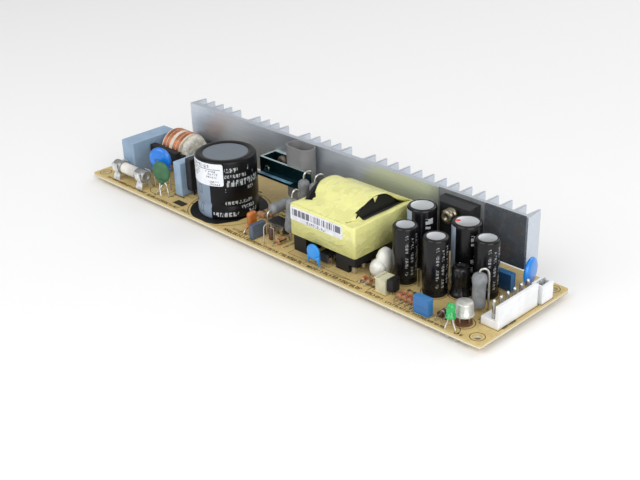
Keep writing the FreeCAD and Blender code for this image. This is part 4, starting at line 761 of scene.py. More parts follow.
def strip(outline: list[Point], run: Point, steps: int, thick: float) -> bmesh.types.BMesh:
    """Sweep an open outline along a straight run and give the sheet a thickness.

    Args:
        outline: Points of the sheet's edge where the run starts.
        run: Vector of the whole run.
        steps: Parts that the run is divided into.
        thick: Thickness of the sheet.

    Returns:
        The closed form.
    """
    form = bmesh.new()
    points = [form.verts.new(point) for point in outline]
    edges = [form.edges.new(pair) for pair in zip(points, points[1:])]
    bmesh.ops.spin(form, geom=points + edges, axis=(1, 0, 0), cent=(0, 0, 0),
                   dvec=Vector(run) / steps, angle=0.0, steps=steps, use_merge=False)
    bmesh.ops.recalc_face_normals(form, faces=form.faces)
    bmesh.ops.solidify(form, geom=form.faces, thickness=thick)
    bmesh.ops.recalc_face_normals(form, faces=form.faces)
    return form


def lumpy(form: bmesh.types.BMesh, depth: float, size: float, seed: float = 0.0) -> None:
    """Push a form's surface in and out by soft lumps.

    Args:
        form: The form.
        depth: How far the lumps reach.
        size: Width of a lump.
        seed: Shifts the pattern of the lumps.
    """
    form.normal_update()
    moves = [(v, v.normal * depth * noise.noise(v.co / size + Vector((seed, seed, seed))))
             for v in form.verts]
    for vert, move in moves:
        vert.co += move


def facing(heading: float) -> Matrix:
    """Turn a piece made about the upright axis so that the axis lies level, square to a heading."""
    return Matrix.Rotation(math.radians(heading), 4, "Z") @ Matrix.Rotation(math.pi / 2, 4, "X")


def leaning(form: bmesh.types.BMesh, low: Point, high: Point) -> bmesh.types.BMesh:
    """Lay a piece made upward from the origin along the line between two points.

    Args:
        form: The piece.
        low: Where its foot goes.
        high: Where it points.

    Returns:
        The same form.
    """
    run = Vector(high) - Vector(low)
    turn = Vector((0, 0, 1)).rotation_difference(run).to_matrix().to_4x4()
    bmesh.ops.transform(form, matrix=Matrix.Translation(low) @ turn, verts=form.verts)
    return form


@dataclass
class PrintSheet:
    """Printed marks as thin flat shapes that lie on a level face."""

    height: float = 0.03
    form: bmesh.types.BMesh = field(default_factory=bmesh.new)

    def bar(self, x: float, y: float, wide: float, deep: float, turn: float = 0.0) -> None:
        """Add a filled bar about a middle, turned by degrees.

        Args:
            x: Middle along the board.
            y: Middle across the board.
            wide: Length of the bar.
            deep: Width of the bar.
            turn: Its direction in degrees.
        """
        made = bmesh.ops.create_grid(self.form, x_segments=1, y_segments=1, size=0.5)["verts"]
        bmesh.ops.scale(self.form, vec=(wide, deep, 1), verts=made)
        bmesh.ops.rotate(self.form, verts=made, cent=(0, 0, 0),
                         matrix=Matrix.Rotation(math.radians(turn), 3, "Z"))
        bmesh.ops.translate(self.form, vec=(x, y, self.height), verts=made)

    def frame(self, x0: float, y0: float, x1: float, y1: float, line: float = 0.2) -> None:
        """Add the outline of a rectangle."""
        self.bar((x0 + x1) / 2, y0, x1 - x0 + line, line)
        self.bar((x0 + x1) / 2, y1, x1 - x0 + line, line)
        self.bar(x0, (y0 + y1) / 2, line, y1 - y0)
        self.bar(x1, (y0 + y1) / 2, line, y1 - y0)

    def ring(self, x: float, y: float, radius: float, line: float = 0.25, steps: int = 40) -> None:
        """Add a flat ring.

        Args:
            x: Middle along the board.
            y: Middle across the board.
            radius: Radius of its line.
            line: Width of its line.
            steps: Parts that it is divided into.
        """
        ends = [self.form.verts.new((radius - line / 2, 0, 0)),
                self.form.verts.new((radius + line / 2, 0, 0))]
        edge = self.form.edges.new(ends)
        bmesh.ops.spin(self.form, geom=ends + [edge], axis=(0, 0, 1), cent=(0, 0, 0),
                       angle=math.tau, steps=steps, use_merge=True)
        verts = {v for face in self.form.faces if face.is_valid for v in face.verts
                 if v.co.z == 0.0}
        bmesh.ops.translate(self.form, vec=(x, y, self.height), verts=list(verts))

    def marks(self, x: float, y: float, count: int, tall: float, turn: float = 0.0,
              seed: int = 1) -> None:
        """Add a row of short strokes that stand for a printed name.

        Args:
            x: Middle of the first mark.
            y: Middle of the row.
            count: How many marks.
            tall: Height of a mark.
            turn: Direction of the row in degrees.
            seed: Start of the row's own random choice.
        """
        pick = random.Random(seed)
        step = tall * 0.86
        run = Vector((math.cos(math.radians(turn)), math.sin(math.radians(turn))))
        side = Vector((-run.y, run.x))
        for i in range(count):
            spot = Vector((x, y)) + run * step * i
            self.bar(spot.x, spot.y, tall * 0.24, tall, turn)
            rung = spot + run * step * 0.27 + side * tall * pick.choice((-0.42, 0.0, 0.42))
            self.bar(rung.x, rung.y, tall * 0.5, tall * 0.24, turn)
            if pick.random() > 0.5:
                stem = spot + run * step * 0.5
                self.bar(stem.x, stem.y, tall * 0.24, tall * 0.95, turn)


TINNED = Finish("tinned_wire", (0.62, 0.61, 0.58), roughness=0.3, metallic=1.0, mottle=0.10,
                depth=0.01)
BLACK_MOULDING = Finish("black_moulding", (0.022, 0.023, 0.025), roughness=0.42, grain=0.25,
                        depth=0.012,
                        specular=0.35)
INK = Finish("board_ink", (0.035, 0.026, 0.014), roughness=0.6, mottle=0.4, patch=1.0, depth=0.0,
             specular=0.2)


@dataclass(frozen=True)
class Laminate(Finish):
    """Resin board: tan printed face; sawn edge banded tan, cream and painted-shadow grey."""

    edge_top: Colour = (0.60, 0.47, 0.24)
    edge_middle: Colour = (0.72, 0.68, 0.50)
    edge_shadow: Colour = (0.36, 0.35, 0.31)
    thick: float = 1.6

    def paint(self, shader: Shader) -> None:
        """Fill the surface shader."""
        z = shader.place()[2]
        weave = shader.noise(0.7, (6, 1, 1)) * 0.5 + shader.noise(0.7, (1, 6, 1)) * 0.5
        face = shader.blend(weave.ease(0.4, 0.6), self.tone(shader),
                            tuple(c * 0.92 for c in self.colour))
        track = shader.noise(8.0, detail=0.0)
        copper = track.between(0.42, 0.47).either(track.between(0.56, 0.6))
        face = shader.blend(copper * 0.4, face, tuple(c * 0.8 for c in self.colour))
        side = z.between(-self.thick + 0.02, -0.02)
        fray = z + (shader.noise(0.8, (4, 4, 1)) - 0.5) * 0.25
        edge = shader.blend(fray.under(-0.8), self.edge_top, self.edge_middle)
        # painted shadow: the lowest band of the sawn edge is painted grey
        edge = shader.blend(fray.under(-1.3), edge, self.edge_shadow)
        shader.set("Base Color", shader.blend(side, face, edge))
        shader.set("Roughness", side * 0.25 + 0.42 + (shader.noise(5.0) - 0.5) * 0.15)
        shader.raise_by(copper * 0.6 + weave * 0.2, 0.05)


@dataclass
class Board:
    """Circuit board with its printed legend, the solder under it and the mounting rings."""

    ring_radius: float = 2.55
    inset: float = 4.0
    laminate: Laminate = Laminate("board_laminate", (0.64, 0.48, 0.20), mottle=0.09, patch=9.0,
                                  specular=0.3)
    pad_centre: tuple[float, float] = (75.0, 15.9)
    pad_radius: float = 16.1
    sheet_tall: float = 0.03
    print_margin: float = 0.35
    print_end: float = 215.5

    def dress(self) -> None:
        """Finish the board and print its legend."""
        BENCH.dress("circuit_board", self.laminate)
        BENCH.dress("solder_joints",
                    Finish("solder", (0.6, 0.6, 0.58), roughness=0.3, metallic=1.0))
        high = BENCH.box("circuit_board")[1]
        sheet = PrintSheet()
        for x in (self.inset, high.x - self.inset):
            for y in (self.inset, high.y - self.inset):
                sheet.ring(x, y, self.ring_radius)
        self.outlines(sheet)
        self.names(sheet)
        parts = whole(sheet.form)
        bmesh.ops.bisect_plane(sheet.form, geom=parts, plane_co=(0, self.print_margin, 0),
                               plane_no=(0, -1, 0), clear_outer=True)
        BENCH.piece("board_legend", sheet.form, INK, "board_laminate")
        self.pad()

    def pad(self) -> None:
        """Lay the black disc that the bulk capacitor stands on, cut straight at two sides."""
        form = bmesh.new()
        bmesh.ops.create_circle(form, cap_ends=True, radius=self.pad_radius, segments=72)
        bmesh.ops.translate(form, vec=(*self.pad_centre, self.sheet_tall / 2), verts=form.verts)
        for spot, normal in (((75.0, self.print_margin, 0), (0, -1, 0)),
                             ((83.0, 1.5, 0), (0.88, -0.476, 0)),
                             ((87.4, 10.0, 0), (1, 0, 0))):
            bmesh.ops.bisect_plane(form, geom=whole(form),
                                   plane_co=spot, plane_no=normal, clear_outer=True)
        ink = Finish("pad_ink", (0.012, 0.012, 0.012), roughness=0.5, patch=3.0, mottle=0.3,
                     specular=0.25)
        BENCH.piece("board_pad", form, ink, "board_laminate")

    def outlines(self, sheet: PrintSheet) -> None:
        """Print an outline round the larger parts."""
        for node, gap in (("input_film_capacitor", 0.6), ("line_film_capacitor", 0.5),
                          ("bridge_rectifier", 0.6), ("control_ic", 0.5), ("transformer_tape", 0.9),
                          ("fuse_clips", 0.9), ("safety_capacitor", 0.6),
                          ("feedback_optocoupler", 0.6),
                          ("output_header", 0.35), ("auxiliary_header", 0.3),
                          ("isolating_coupler", 0.5),
                          ("output_film_capacitor_front", 0.35),
                          ("output_film_capacitor_rear", 0.35),
                          ("orange_film_capacitor", 0.5), ("startup_resistor", 0.6)):
            low, high = BENCH.box(node)
            sheet.frame(low.x - gap, low.y - gap, min(high.x + gap, self.print_end), high.y + gap)
        for node in ("output_capacitor_1", "output_capacitor_2", "output_capacitor_3",
                     "output_capacitor_4", "output_capacitor_5", "output_choke",
                     "metal_can_transistor",
                     "indicator_led", "surge_varistor"):
            low, high = BENCH.box(node)
            middle = (low + high) / 2
            sheet.ring(middle.x, middle.y, (high.x - low.x) / 2 + 0.5)
        for x in (178.2, 180.6, 183.0, 185.4):
            sheet.frame(x - 1.1, 2.3, x + 1.1, 11.7, 0.18)
        sheet.ring(75.0, 16.0, 17.2)
        sheet.bar(56.2, 5.1, 6.4, 3.4)
        sheet.bar(152.0, 3.6, 9.0, 0.3, 8.0)
        sheet.bar(164.5, 6.0, 0.3, 6.5)

    def names(self, sheet: PrintSheet) -> None:
        """Print rows of strokes where the legend names parts."""
        rows = ((9.5, 1.6, 24, 1.35, 0), (38.5, 1.5, 12, 1.4, 0), (9.5, 8.6, 6, 1.1, 0),
                (41.0, 3.2, 8, 1.0, 90), (52.0, 1.4, 7, 1.3, 0), (48.0, 5.4, 5, 1.0, 90),
                (62.0, 1.3, 4, 1.2, 0), (89.0, 1.5, 14, 1.6, 0), (91.5, 4.0, 9, 1.1, 0),
                (108.4, 1.5, 9, 1.5, 0), (121.0, 1.6, 9, 1.6, 0), (136.0, 1.4, 4, 1.5, 0),
                (143.0, 1.7, 6, 1.6, 0), (152.0, 1.7, 8, 1.6, 0), (165.0, 1.7, 7, 1.4, 0),
                (174.8, 1.2, 11, 1.2, 0), (187.0, 1.2, 8, 1.25, 0), (195.5, 1.2, 5, 1.2, 0),
                (204.8, 1.3, 3, 1.3, 0), (47.0, 9.6, 8, 1.0, 0), (104.0, 21.0, 8, 1.0, 0),
                (88.0, 25.5, 14, 1.3, 0), (90.0, 28.2, 12, 1.3, 0), (92.0, 30.6, 10, 1.2, 0),
                (89.5, 14.5, 8, 1.3, 90), (60.5, 32.0, 14, 1.4, 0), (62.0, 35.0, 11, 1.3, 0),
                (107.0, 36.5, 12, 1.2, 0), (100.6, 4.2, 6, 1.0, 90),
                (118.6, 6.0, 12, 1.1, 90), (121.3, 9.0, 9, 1.1, 90), (158.5, 6.0, 9, 1.2, 0),
                (160.0, 22.5, 8, 1.1, 90), (175.0, 12.6, 6, 1.0, 0), (193.8, 8.0, 8, 1.1, 90),
                (198.0, 12.2, 6, 1.1, 0), (205.6, 13.0, 12, 1.1, 90), (214.9, 13.5, 9, 1.0, 90),
                (1.6, 10.0, 12, 1.1, 90), (6.0, 20.0, 10, 1.1, 90), (60.0, 8.4, 5, 1.0, 0))
        for seed, (x, y, count, tall, turn) in enumerate(rows):
            sheet.marks(x, y, count, tall, turn, seed)


@dataclass(frozen=True)
class DrawnAluminium(Finish):
    """Extruded aluminium with fine lines along the fins."""

    def paint(self, shader: Shader) -> None:
        """Fill the surface shader."""
        lines = shader.noise(0.25, (60, 1, 1), detail=2.0)
        shader.set("Base Color", shader.blend(lines.ease(0.3, 0.7),
                                              tuple(c * 0.9 for c in self.colour),
                                              self.colour))
        shader.set("Metallic", self.metallic)
        shader.set("Roughness", self.roughness + (lines - 0.5) * 0.12)
        shader.raise_by(lines, 0.03)


@dataclass
class Sink:
    """Heat sink and its pins."""

    def dress(self) -> None:
        """Finish the sink."""
        BENCH.dress("heatsink", DrawnAluminium("sink_aluminium", (0.68, 0.73, 0.80), roughness=0.38,
                                               metallic=0.85))
        BENCH.dress("heatsink_pins", TINNED)


@dataclass(frozen=True)
class FuseTube(Finish):
    """White fuse tube between bright end caps with darker rolled rings."""

    ends: tuple[float, float] = (0.0, 0.0)
    steel: Colour = (0.36, 0.36, 0.35)

    def paint(self, shader: Shader) -> None:
        """Fill the surface shader."""
        x = shader.place()[0]
        cap = x.under(self.ends[0]).either(x.over(self.ends[1]))
        ring = (x - self.ends[0]).size().under(0.3).either((x - self.ends[1]).size().under(0.3))
        metal = shader.blend(ring * 0.6, self.steel, (0.16, 0.16, 0.16))
        shader.set("Base Color", shader.blend(cap.either(ring), self.tone(shader), metal))
        shader.set("Metallic", cap * 0.75)
        shader.set("Roughness", 0.42 + (1 - cap) * 0.08 + (shader.noise(1.0) - 0.5) * 0.12)
        shader.raise_by(shader.noise(1.2), 0.04)


@dataclass(frozen=True)
class Copper(Finish):
    """Enamelled turns, each a little darker or lighter than its neighbour."""

    pitch: float = 0.65
    dark: Colour = (0.16, 0.045, 0.02)

    def paint(self, shader: Shader) -> None:
        """Fill the surface shader."""
        each = shader.speckle(shader.place()[0] / self.pitch)
        patch = shader.noise(3.0).ease(0.45, 0.7)
        colour = shader.blend(each * 0.75, self.colour, self.dark)
        colour = shader.blend(patch * 0.5, colour, (0.50, 0.22, 0.10))
        shader.set("Base Color", colour)
        shader.set("Metallic", self.metallic)
        self.worn(shader, 1.5, 0.15)
        shader.raise_by(shader.noise(0.5), 0.03)


@dataclass(frozen=True)
class Marked(Finish):
    """Glossy disc coating with a small dark printed mark."""

    spot: Point = (0.0, 0.0, 0.0)
    reach: float = 1.1
    ink: Colour = (0.01, 0.03, 0.12)

    def paint(self, shader: Shader) -> None:
        """Fill the surface shader."""
        x, _, z = shader.place()
        near = Region(tuple(c - self.reach for c in self.spot),
                      tuple(c + self.reach for c in self.spot))
        marks = shader.glyphs(x, z - self.spot[2], 0.7, (-0.7, 0.7), 3.0) * near.mask(shader)
        shader.set("Base Color", shader.blend(marks * 0.9, self.tone(shader), self.ink))
        self.worn(shader, 1.6, 0.12)
        shader.raise_by(shader.noise(1.4), 0.06)


def coated_disc(centre: Point, radius: float, thick: float, heading: float) -> bmesh.types.BMesh:
    """Make a round dipped disc that stands on edge.

    Args:
        centre: Its middle.
        radius: Its radius.
        thick: Its thickness at the middle.
        heading: Direction of its face's level line, in degrees from x.

    Returns:
        The closed form.
    """
    half = thick / 2
    profile = [(0, -half), (radius * 0.55, -half * 0.98), (radius * 0.82, -half * 0.82),
               (radius * 0.95, -half * 0.5), (radius, -half * 0.12), (radius, half * 0.12),
               (radius * 0.95, half * 0.5), (radius * 0.82, half * 0.82),
               (radius * 0.55, half * 0.98),
               (0, half)]
    form = turned(profile, (0.0, 0.0, 0.0), steps=56)
    bmesh.ops.transform(form, matrix=Matrix.Translation(centre) @ facing(heading), verts=form.verts)
    return form


def drip(top: Point, foot: Point, wide: float, narrow: float) -> bmesh.types.BMesh:
    """Make the tapering run of coating down a lead.

    Args:
        top: Where it leaves the body.
        foot: Where it ends on the lead.
        wide: Radius at the body.
        narrow: Radius at the end.

    Returns:
        The closed form.
    """
    long = (Vector(foot) - Vector(top)).length
    profile = [(0, 0), (narrow * 0.7, 0.0), (narrow, long * 0.12), (narrow * 1.2, long * 0.4),
               (wide * 0.8, long * 0.75), (wide, long), (0, long)]
    return leaning(turned(profile, (0.0, 0.0, 0.0), steps=16), foot, top)


@dataclass
class InputFilter:
    """Parts at the input end: fuse, filter capacitors, line choke and protection discs."""

    wire_thick: float = 0.62
    front_limb: float = 3.0
    rear_drop: float = 2.2
    coil_steps: int = 56
    lead_radius: float = 0.33
    copper: Copper = Copper("copper_wire", (0.50, 0.17, 0.065), roughness=0.32, metallic=0.55,
                            coat=0.4)

    def dress(self) -> None:
        """Shape and finish the input parts and wind the choke."""
        BENCH.dress("input_film_capacitor",
                    Finish("pale_case", (0.26, 0.37, 0.50), roughness=0.45, mottle=0.05))
        BENCH.dress("line_film_capacitor",
                    Finish("film_pale_blue", (0.31, 0.43, 0.58), roughness=0.45,
                                                  mottle=0.05))
        self.core()
        BENCH.dress("line_choke_bobbin", Finish("choke_bobbin", (0.66, 0.60, 0.50), roughness=0.5))
        BENCH.dress("bridge_rectifier", BLACK_MOULDING)
        self.fuse()
        self.varistor()
        self.thermistor()
        self.wind()
        self.glue()

    def core(self) -> None:
        """Grind the ferrite ring of the choke, its rear limb lower than the front one."""
        low, high = BENCH.box("line_choke_core")
        limb = self.front_limb
        rear = high.z - self.rear_drop
        form = rounded_block((low.x, low.y, low.z), (high.x, low.y + limb, high.z), 0.15, 1)
        gather(form, rounded_block((low.x, high.y - limb, low.z), (high.x, high.y, rear), 0.15, 1))
        for start in (low.x, high.x - 2.4):
            gather(form, rounded_block((start + 0.02, low.y + limb - 0.3, low.z + 0.02),
                                       (start + 2.38, high.y - limb + 0.3, rear - 0.02), 0.15, 1))
        ferrite = Finish("ferrite", (0.014, 0.013, 0.014), roughness=0.55, grain=0.3, depth=0.03,
                         specular=0.3)
        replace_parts(BENCH.piece("choke_core", form, ferrite, "ferrite"), "line_choke_core")

    def fuse(self) -> None:
        """Turn the fuse tube with its caps and bend the two spring clips that hold it."""
        low, high = BENCH.box("fuse")
        middle = (low + high) / 2
        radius = (high.z - low.z) / 2
        long = high.x - low.x
        cap = 5.8
        profile = [(0, 0.25), (radius * 0.45, 0.25), (radius * 0.5, 0), (radius - 0.35, 0),
                   (radius, 0.35),
                   (radius, cap - 0.5), (radius - 0.12, cap - 0.4), (radius, cap - 0.2),
                   (radius, cap),
                   (radius - 0.18, cap + 0.05), (radius - 0.18, long - cap - 0.05),
                   (radius, long - cap),
                   (radius, long - cap + 0.2), (radius - 0.12, long - cap + 0.4),
                   (radius, long - cap + 0.5),
                   (radius, long - 0.35), (radius - 0.35, long), (radius * 0.5, long),
                   (radius * 0.45, long - 0.25), (0, long - 0.25)]
        tube = turned(profile, (low.x, middle.y, middle.z), Axis.X)
        finish = FuseTube("fuse_tube", (0.68, 0.66, 0.61), ends=(low.x + cap, high.x - cap),
                          mottle=0.04)
        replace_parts(BENCH.piece("fuse_tube", tube, finish, "tinned_metal", smooth=True), "fuse")
        clip_low, clip_high = BENCH.box("fuse_clips")
        form = bmesh.new()
        for start in (clip_low.x, clip_high.x - 4.5):
            gather(form, self.clip(start, middle, clip_low.y, clip_high.y))
        steel = Finish("clip_steel", (0.74, 0.76, 0.77), roughness=0.36, metallic=0.6, mottle=0.2,
                       patch=2.0)
        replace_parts(BENCH.piece("fuse_clip_springs", form, steel, "tinned_metal"), "fuse_clips")

    def clip(self, start: float, middle: Vector, front: float, back: float) -> bmesh.types.BMesh:
        """Bend one spring clip round the tube, on two flared feet.

        Args:
            start: Its left end.
            middle: Middle of the tube.
            front: Front of its feet.
            back: Back of its feet.

        Returns:
            The closed form.
        """
        half = (back - front) / 2
        shape = ((-0.86, 1.94), (-0.97, 1.3), (-0.9, 0.1), (-0.86, -1.2), (-0.6, -2.35),
                 (-0.3, -2.72),
                 (0.3, -2.72), (0.6, -2.35), (0.86, -1.2), (0.9, 0.1), (0.97, 1.3), (0.86, 1.94))
        outline = [(start + 0.4, middle.y + half * y, middle.z + z) for y, z in shape]
        form = strip(outline, (3.7, 0, 0), 1, -0.3)
        for side in (-1, 1):
            edge = middle.y + side * (half - 0.75)
            foot = block((start, edge - 0.15, 0.0), (start + 4.5, edge + 0.15, middle.z - 1.8))
            top = [v for v in foot.verts if v.co.z > 1.0]
            bmesh.ops.translate(foot, vec=(0, -side * 0.7, 0), verts=top)
            bmesh.ops.translate(foot, vec=(0, side * 0.55, 0),
                                verts=[v for v in foot.verts if v not in top])
            bmesh.ops.scale(foot, vec=(0.72, 1, 1), space=Matrix.Translation((-start - 2.25, 0, 0)),
                            verts=top)
            gather(form, foot)
        return form

    def varistor(self) -> None:
        """Dip the blue varistor and bend its leads."""
        centre = (38.8, 9.6, 13.8)
        form = coated_disc(centre, 5.2, 2.9, 21.0)
        finish = Marked("blue_coating", (0.005, 0.18, 0.68), roughness=0.3, coat=0.5, mottle=0.06,
                        spot=(38.6, 8.2, 13.6))
        leads = bmesh.new()
        for side in (-1, 1):
            x = centre[0] + side * 3.5
            y = centre[1] + side * 1.34
            gather(form, drip((x - side * 0.4, y, 9.9), (x, y, 7.6), 1.1, 0.5))
            gather(leads, wire([(x, y, 8.4), (x, y, 4.0), (x, y, 0.0)], self.lead_radius))
        body = BENCH.piece("varistor_disc", form, finish, "coating_blue", smooth=True)
        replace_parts(body, "surge_varistor")
        BENCH.leads("varistor_leads", leads)

    def thermistor(self) -> None:
        """Dip the green thermistor with its tail and cross its two leads in front."""
        form = coated_disc((43.0, 6.4, 10.1), 4.6, 2.3, 13.0)
        gather(form, drip((43.2, 6.3, 6.6), (43.4, 5.6, 3.4), 2.0, 0.4))
        finish = Finish("green_coating", (0.045, 0.145, 0.065), roughness=0.6, mottle=0.12,
                        patch=3.0, grain=0.8,
                        depth=0.04)
        body = BENCH.piece("thermistor_disc", form, finish, "coating_green", smooth=True)
        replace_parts(body, "inrush_thermistor")
        leads = bmesh.new()
        for points in ([(42.2, 6.0, 5.4), (42.6, 5.2, 4.2), (44.4, 4.0, 1.8), (45.2, 3.6, 0.0)],
                       [(43.6, 6.0, 4.6), (43.6, 5.0, 3.6), (42.2, 4.1, 1.6), (41.4, 3.7, 0.0)],
                       [(44.6, 6.4, 5.8), (46.0, 6.4, 5.0), (45.9, 6.6, 3.2), (46.9, 6.2, 1.6),
                        (46.9, 6.1, 0.0)]):
            gather(leads, wire(points, self.lead_radius))
        BENCH.leads("thermistor_leads", leads)

    def wind(self) -> None:
        """Wind the four sections of the choke with round wire."""
        low, high = BENCH.box("line_choke_windings")
        middle = (low + high) / 2
        reach = (high.z - low.z) / 2 + 0.75
        bobbin_low, bobbin_high = BENCH.box("line_choke_bobbin")
        flange, mid = 0.8, 2.6
        span = bobbin_high.x - bobbin_low.x
        section = (span - 4 * flange - mid) / 4
        starts = [flange, 2 * flange + section, 2 * flange + 2 * section + mid,
                  3 * flange + 3 * section + mid]
        form = bmesh.new()
        for start in starts:
            self.coil(form, bobbin_low.x + start - 0.3, section + 0.6, middle, reach)
        coil = BENCH.piece("choke_copper", form, self.copper, "copper_wire", smooth=True)
        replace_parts(coil, "line_choke_windings")

    def coil(self, form: bmesh.types.BMesh, start: float, wide: float, middle: Vector,
             reach: float) -> None:
        """Add one section of turns as a scalloped ring.

        Args:
            form: The form that grows.
            start: The section's left end.
            wide: Its width.
            middle: Middle of the choke.
            reach: Radius over the turns.
        """
        turns = max(1, round(wide / self.wire_thick))
        pitch = wide / turns
        profile = [(reach - 1.6, 0.0)]
        for i in range(turns):
            for j in range(5):
                angle = math.pi * (j + 0.5) / 5
                profile.append((reach - pitch / 2 + pitch / 2 * math.sin(angle),
                                pitch * (i + 0.5) - pitch / 2 * math.cos(angle)))
        profile.append((reach - 1.6, wide))
        gather(form, turned(profile, (start, middle.y, middle.z), Axis.X, self.coil_steps))

    def glue(self) -> None:
        """Press a lumpy cake of adhesive over the right end of the choke."""
        low, high = BENCH.box("line_choke_adhesive")
        middle = (low + high) / 2
        radius = (high.z - low.z) / 2 - 0.35
        long = high.x - low.x
        profile = [(0, 0)] + [(radius * i / 10, 0) for i in range(4, 10)]
        profile += [(radius, 0.3), (radius, long * 0.35), (radius * 0.97, long * 0.6),
                    (radius * 0.88, long * 0.8)]
        profile += [(radius * i / 16, long - 0.5) for i in range(12, 0, -1)] + [(0, long - 0.5)]
        form = turned(profile, (low.x, middle.y, middle.z), Axis.X, steps=64)
        squeeze = (high.y - low.y) / 2 / (radius + 0.35)
        bmesh.ops.scale(form, vec=(1, min(1.0, squeeze), 1), space=Matrix.Translation(-middle),
                        verts=form.verts)
        lumpy(form, 0.55, 1.7)
        finish = Finish("white_adhesive", (0.60, 0.58, 0.50), roughness=0.45, mottle=0.14,
                        patch=1.2,
                        grain=1.2, depth=0.35, coat=0.2)
        piece = BENCH.piece("choke_adhesive", form, finish, "adhesive_white", smooth=True)
        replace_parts(piece, "line_choke_adhesive")


@dataclass(frozen=True)
class PaperLabel(Finish):
    """White data label round a can: a heading, a rule and rows of marks in two columns."""

    centre: tuple[float, float] = (0.0, 0.0)
    radius: float = 12.5
    start: float = 226.0
    high: float = 24.0
    ink: Colour = (0.06, 0.065, 0.09)

    def paint(self, shader: Shader) -> None:
        """Fill the surface shader."""
        x, y, z = shader.place()
        turn = (y - self.centre[1]).bearing(x - self.centre[0]) * (180 / math.pi)
        turn = turn + turn.under(0.0) * 360.0
        along = (turn - self.start) * (self.radius * math.pi / 180)
        down = self.high - z
        heading = shader.glyphs(along, down, 1.35, (0.55, 1.95)) * along.between(4.0, 13.5)
        rule = down.between(2.3, 2.55) * along.between(1.0, 18.0)
        marks = heading.either(rule)
        for i, (top, first, second) in enumerate(((2.95, 8.5, 16.0), (4.1, 8.0, 17.0),
                                                  (5.25, 7.0, 16.4),
                                                  (7.2, 0.0, 17.2), (8.25, 0.0, 17.8))):
            row = shader.glyphs(along, down, 0.85, (top, top + 0.82), i * 7.0)
            columns = along.between(3.0, first).either(along.between(second - 4.6, second))
            marks = marks.either(row * columns)
        shader.set("Base Color", shader.blend(marks * 0.92, self.tone(shader), self.ink))
        self.worn(shader, 2.0, 0.1)
        shader.raise_by(shader.noise(2.5), 0.04)


@dataclass
class BulkStore:
    """Large input capacitor with its paper label."""

    label_from: float = 226.0
    label_to: float = 314.0
    label_low: float = 14.9
    label_high: float = 24.3
    label_thick: float = 0.06
    label_corner: float = 1.0

    def dress(self) -> None:
        """Shape the capacitor and stick the label on it."""
        low, high = BENCH.box("bulk_capacitor")
        middle = (low + high) / 2
        radius = (high.x - low.x) / 2
        rows = (PrintRow(20.6, 22.4, 1.5, -44.0, 4.0, 1.0),
                PrintRow(18.2, 19.6, 1.25, -44.0, 16.0, 2.0),
                PrintRow(14.6, 17.2, 1.8, -46.0, 30.0, 3.0),
                PrintRow(12.2, 13.7, 1.2, -44.0, 18.0, 4.0),
                PrintRow(6.6, 8.2, 1.5, -46.0, 10.0, 5.0),
                PrintRow(4.2, 5.5, 1.25, -44.0, 16.0, 6.0),
                PrintRow(1.6, 3.4, 1.8, -70.0, 30.0, 7.0))
        sleeve = CanSleeve("bulk_sleeve", (0.004, 0.004, 0.005), roughness=0.3, specular=0.22,
                           patch=6.0,
                           centre=(middle.x, middle.y), radius=radius, high=high.z, top_lip=3.3,
                           top_colour=(0.20, 0.23, 0.27), stripe=(236.0, 286.0),
                           stripe_colour=(0.21, 0.27, 0.35), rows=rows, ink=(0.42, 0.45, 0.47))
        profile = [(0, 0), (radius - 0.9, 0), (radius - 0.25, 0.35), (radius, 1.1), (radius, 4.8),
                   (radius - 0.5, 5.6), (radius - 0.55, 6.4), (radius, 7.4), (radius, high.z - 1.1),
                   (radius - 0.35, high.z - 0.35), (radius - 1.1, high.z),
                   (radius - 2.6, high.z - 0.05),
                   (radius - 3.3, high.z - 0.45), (radius - 4.0, high.z - 0.55), (0, high.z - 0.55)]
        can = turned(profile, (middle.x, middle.y, 0.0), steps=96)
        can_piece = BENCH.piece("bulk_can", can, sleeve, "sleeve_black", smooth=True)
        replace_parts(can_piece, "bulk_capacitor")
        self.label(middle, radius)

    def label(self, middle: Vector, radius: float) -> None:
        """Bend a rounded sheet round the can.

        Args:
            middle: Middle of the can.
            radius: Radius of the can.
        """
        length = math.radians(self.label_to - self.label_from) * radius
        form = bmesh.new()
        bmesh.ops.create_grid(form, x_segments=1, y_segments=1, size=0.5)
        bmesh.ops.scale(form, vec=(length, self.label_high - self.label_low, 1), verts=form.verts)
        bmesh.ops.bevel(form, geom=list(form.verts), offset=self.label_corner, affect="VERTICES",
                        segments=5, profile=0.5, material=-1)
        for i in range(1, 40):
            bmesh.ops.bisect_plane(form, geom=whole(form),
                                   plane_co=(length * (i / 40 - 0.5), 0, 0), plane_no=(1, 0, 0))
        bmesh.ops.solidify(form, geom=form.faces, thickness=self.label_thick)
        start = math.radians(self.label_from)
        for vert in form.verts:
            angle = start + (vert.co.x + length / 2) / radius
            reach = radius + 0.012 + abs(vert.co.z)
            rise = vert.co.y + (self.label_high + self.label_low) / 2
            vert.co = (middle.x + reach * math.cos(angle), middle.y + reach * math.sin(angle), rise)
        bmesh.ops.recalc_face_normals(form, faces=form.faces)
        paper = PaperLabel("paper_label", (0.78, 0.80, 0.84), roughness=0.5, mottle=0.03,
                           centre=(middle.x, middle.y), radius=radius, start=self.label_from,
                           high=self.label_high)
        BENCH.piece("bulk_label", form, paper, "sleeve_black")


@dataclass(frozen=True)
class Plated(Finish):
    """Dark plated sheet with a painted highlight along its upper edge."""

    rim: float = 18.0
    rim_highlight: Colour = (0.62, 0.74, 0.70)

    def paint(self, shader: Shader) -> None:
        """Fill the surface shader."""
        z = shader.place()[2]
        # painted highlight: the sheet above the rim height is painted pale
        lit = z.over(self.rim)
        shader.set("Base Color", shader.blend(lit, self.tone(shader), self.rim_highlight))
        shader.set("Metallic", self.metallic)
        self.worn(shader, 2.0, 0.15)
        shader.raise_by(shader.noise(2.0, (6, 1, 1)), 0.04)


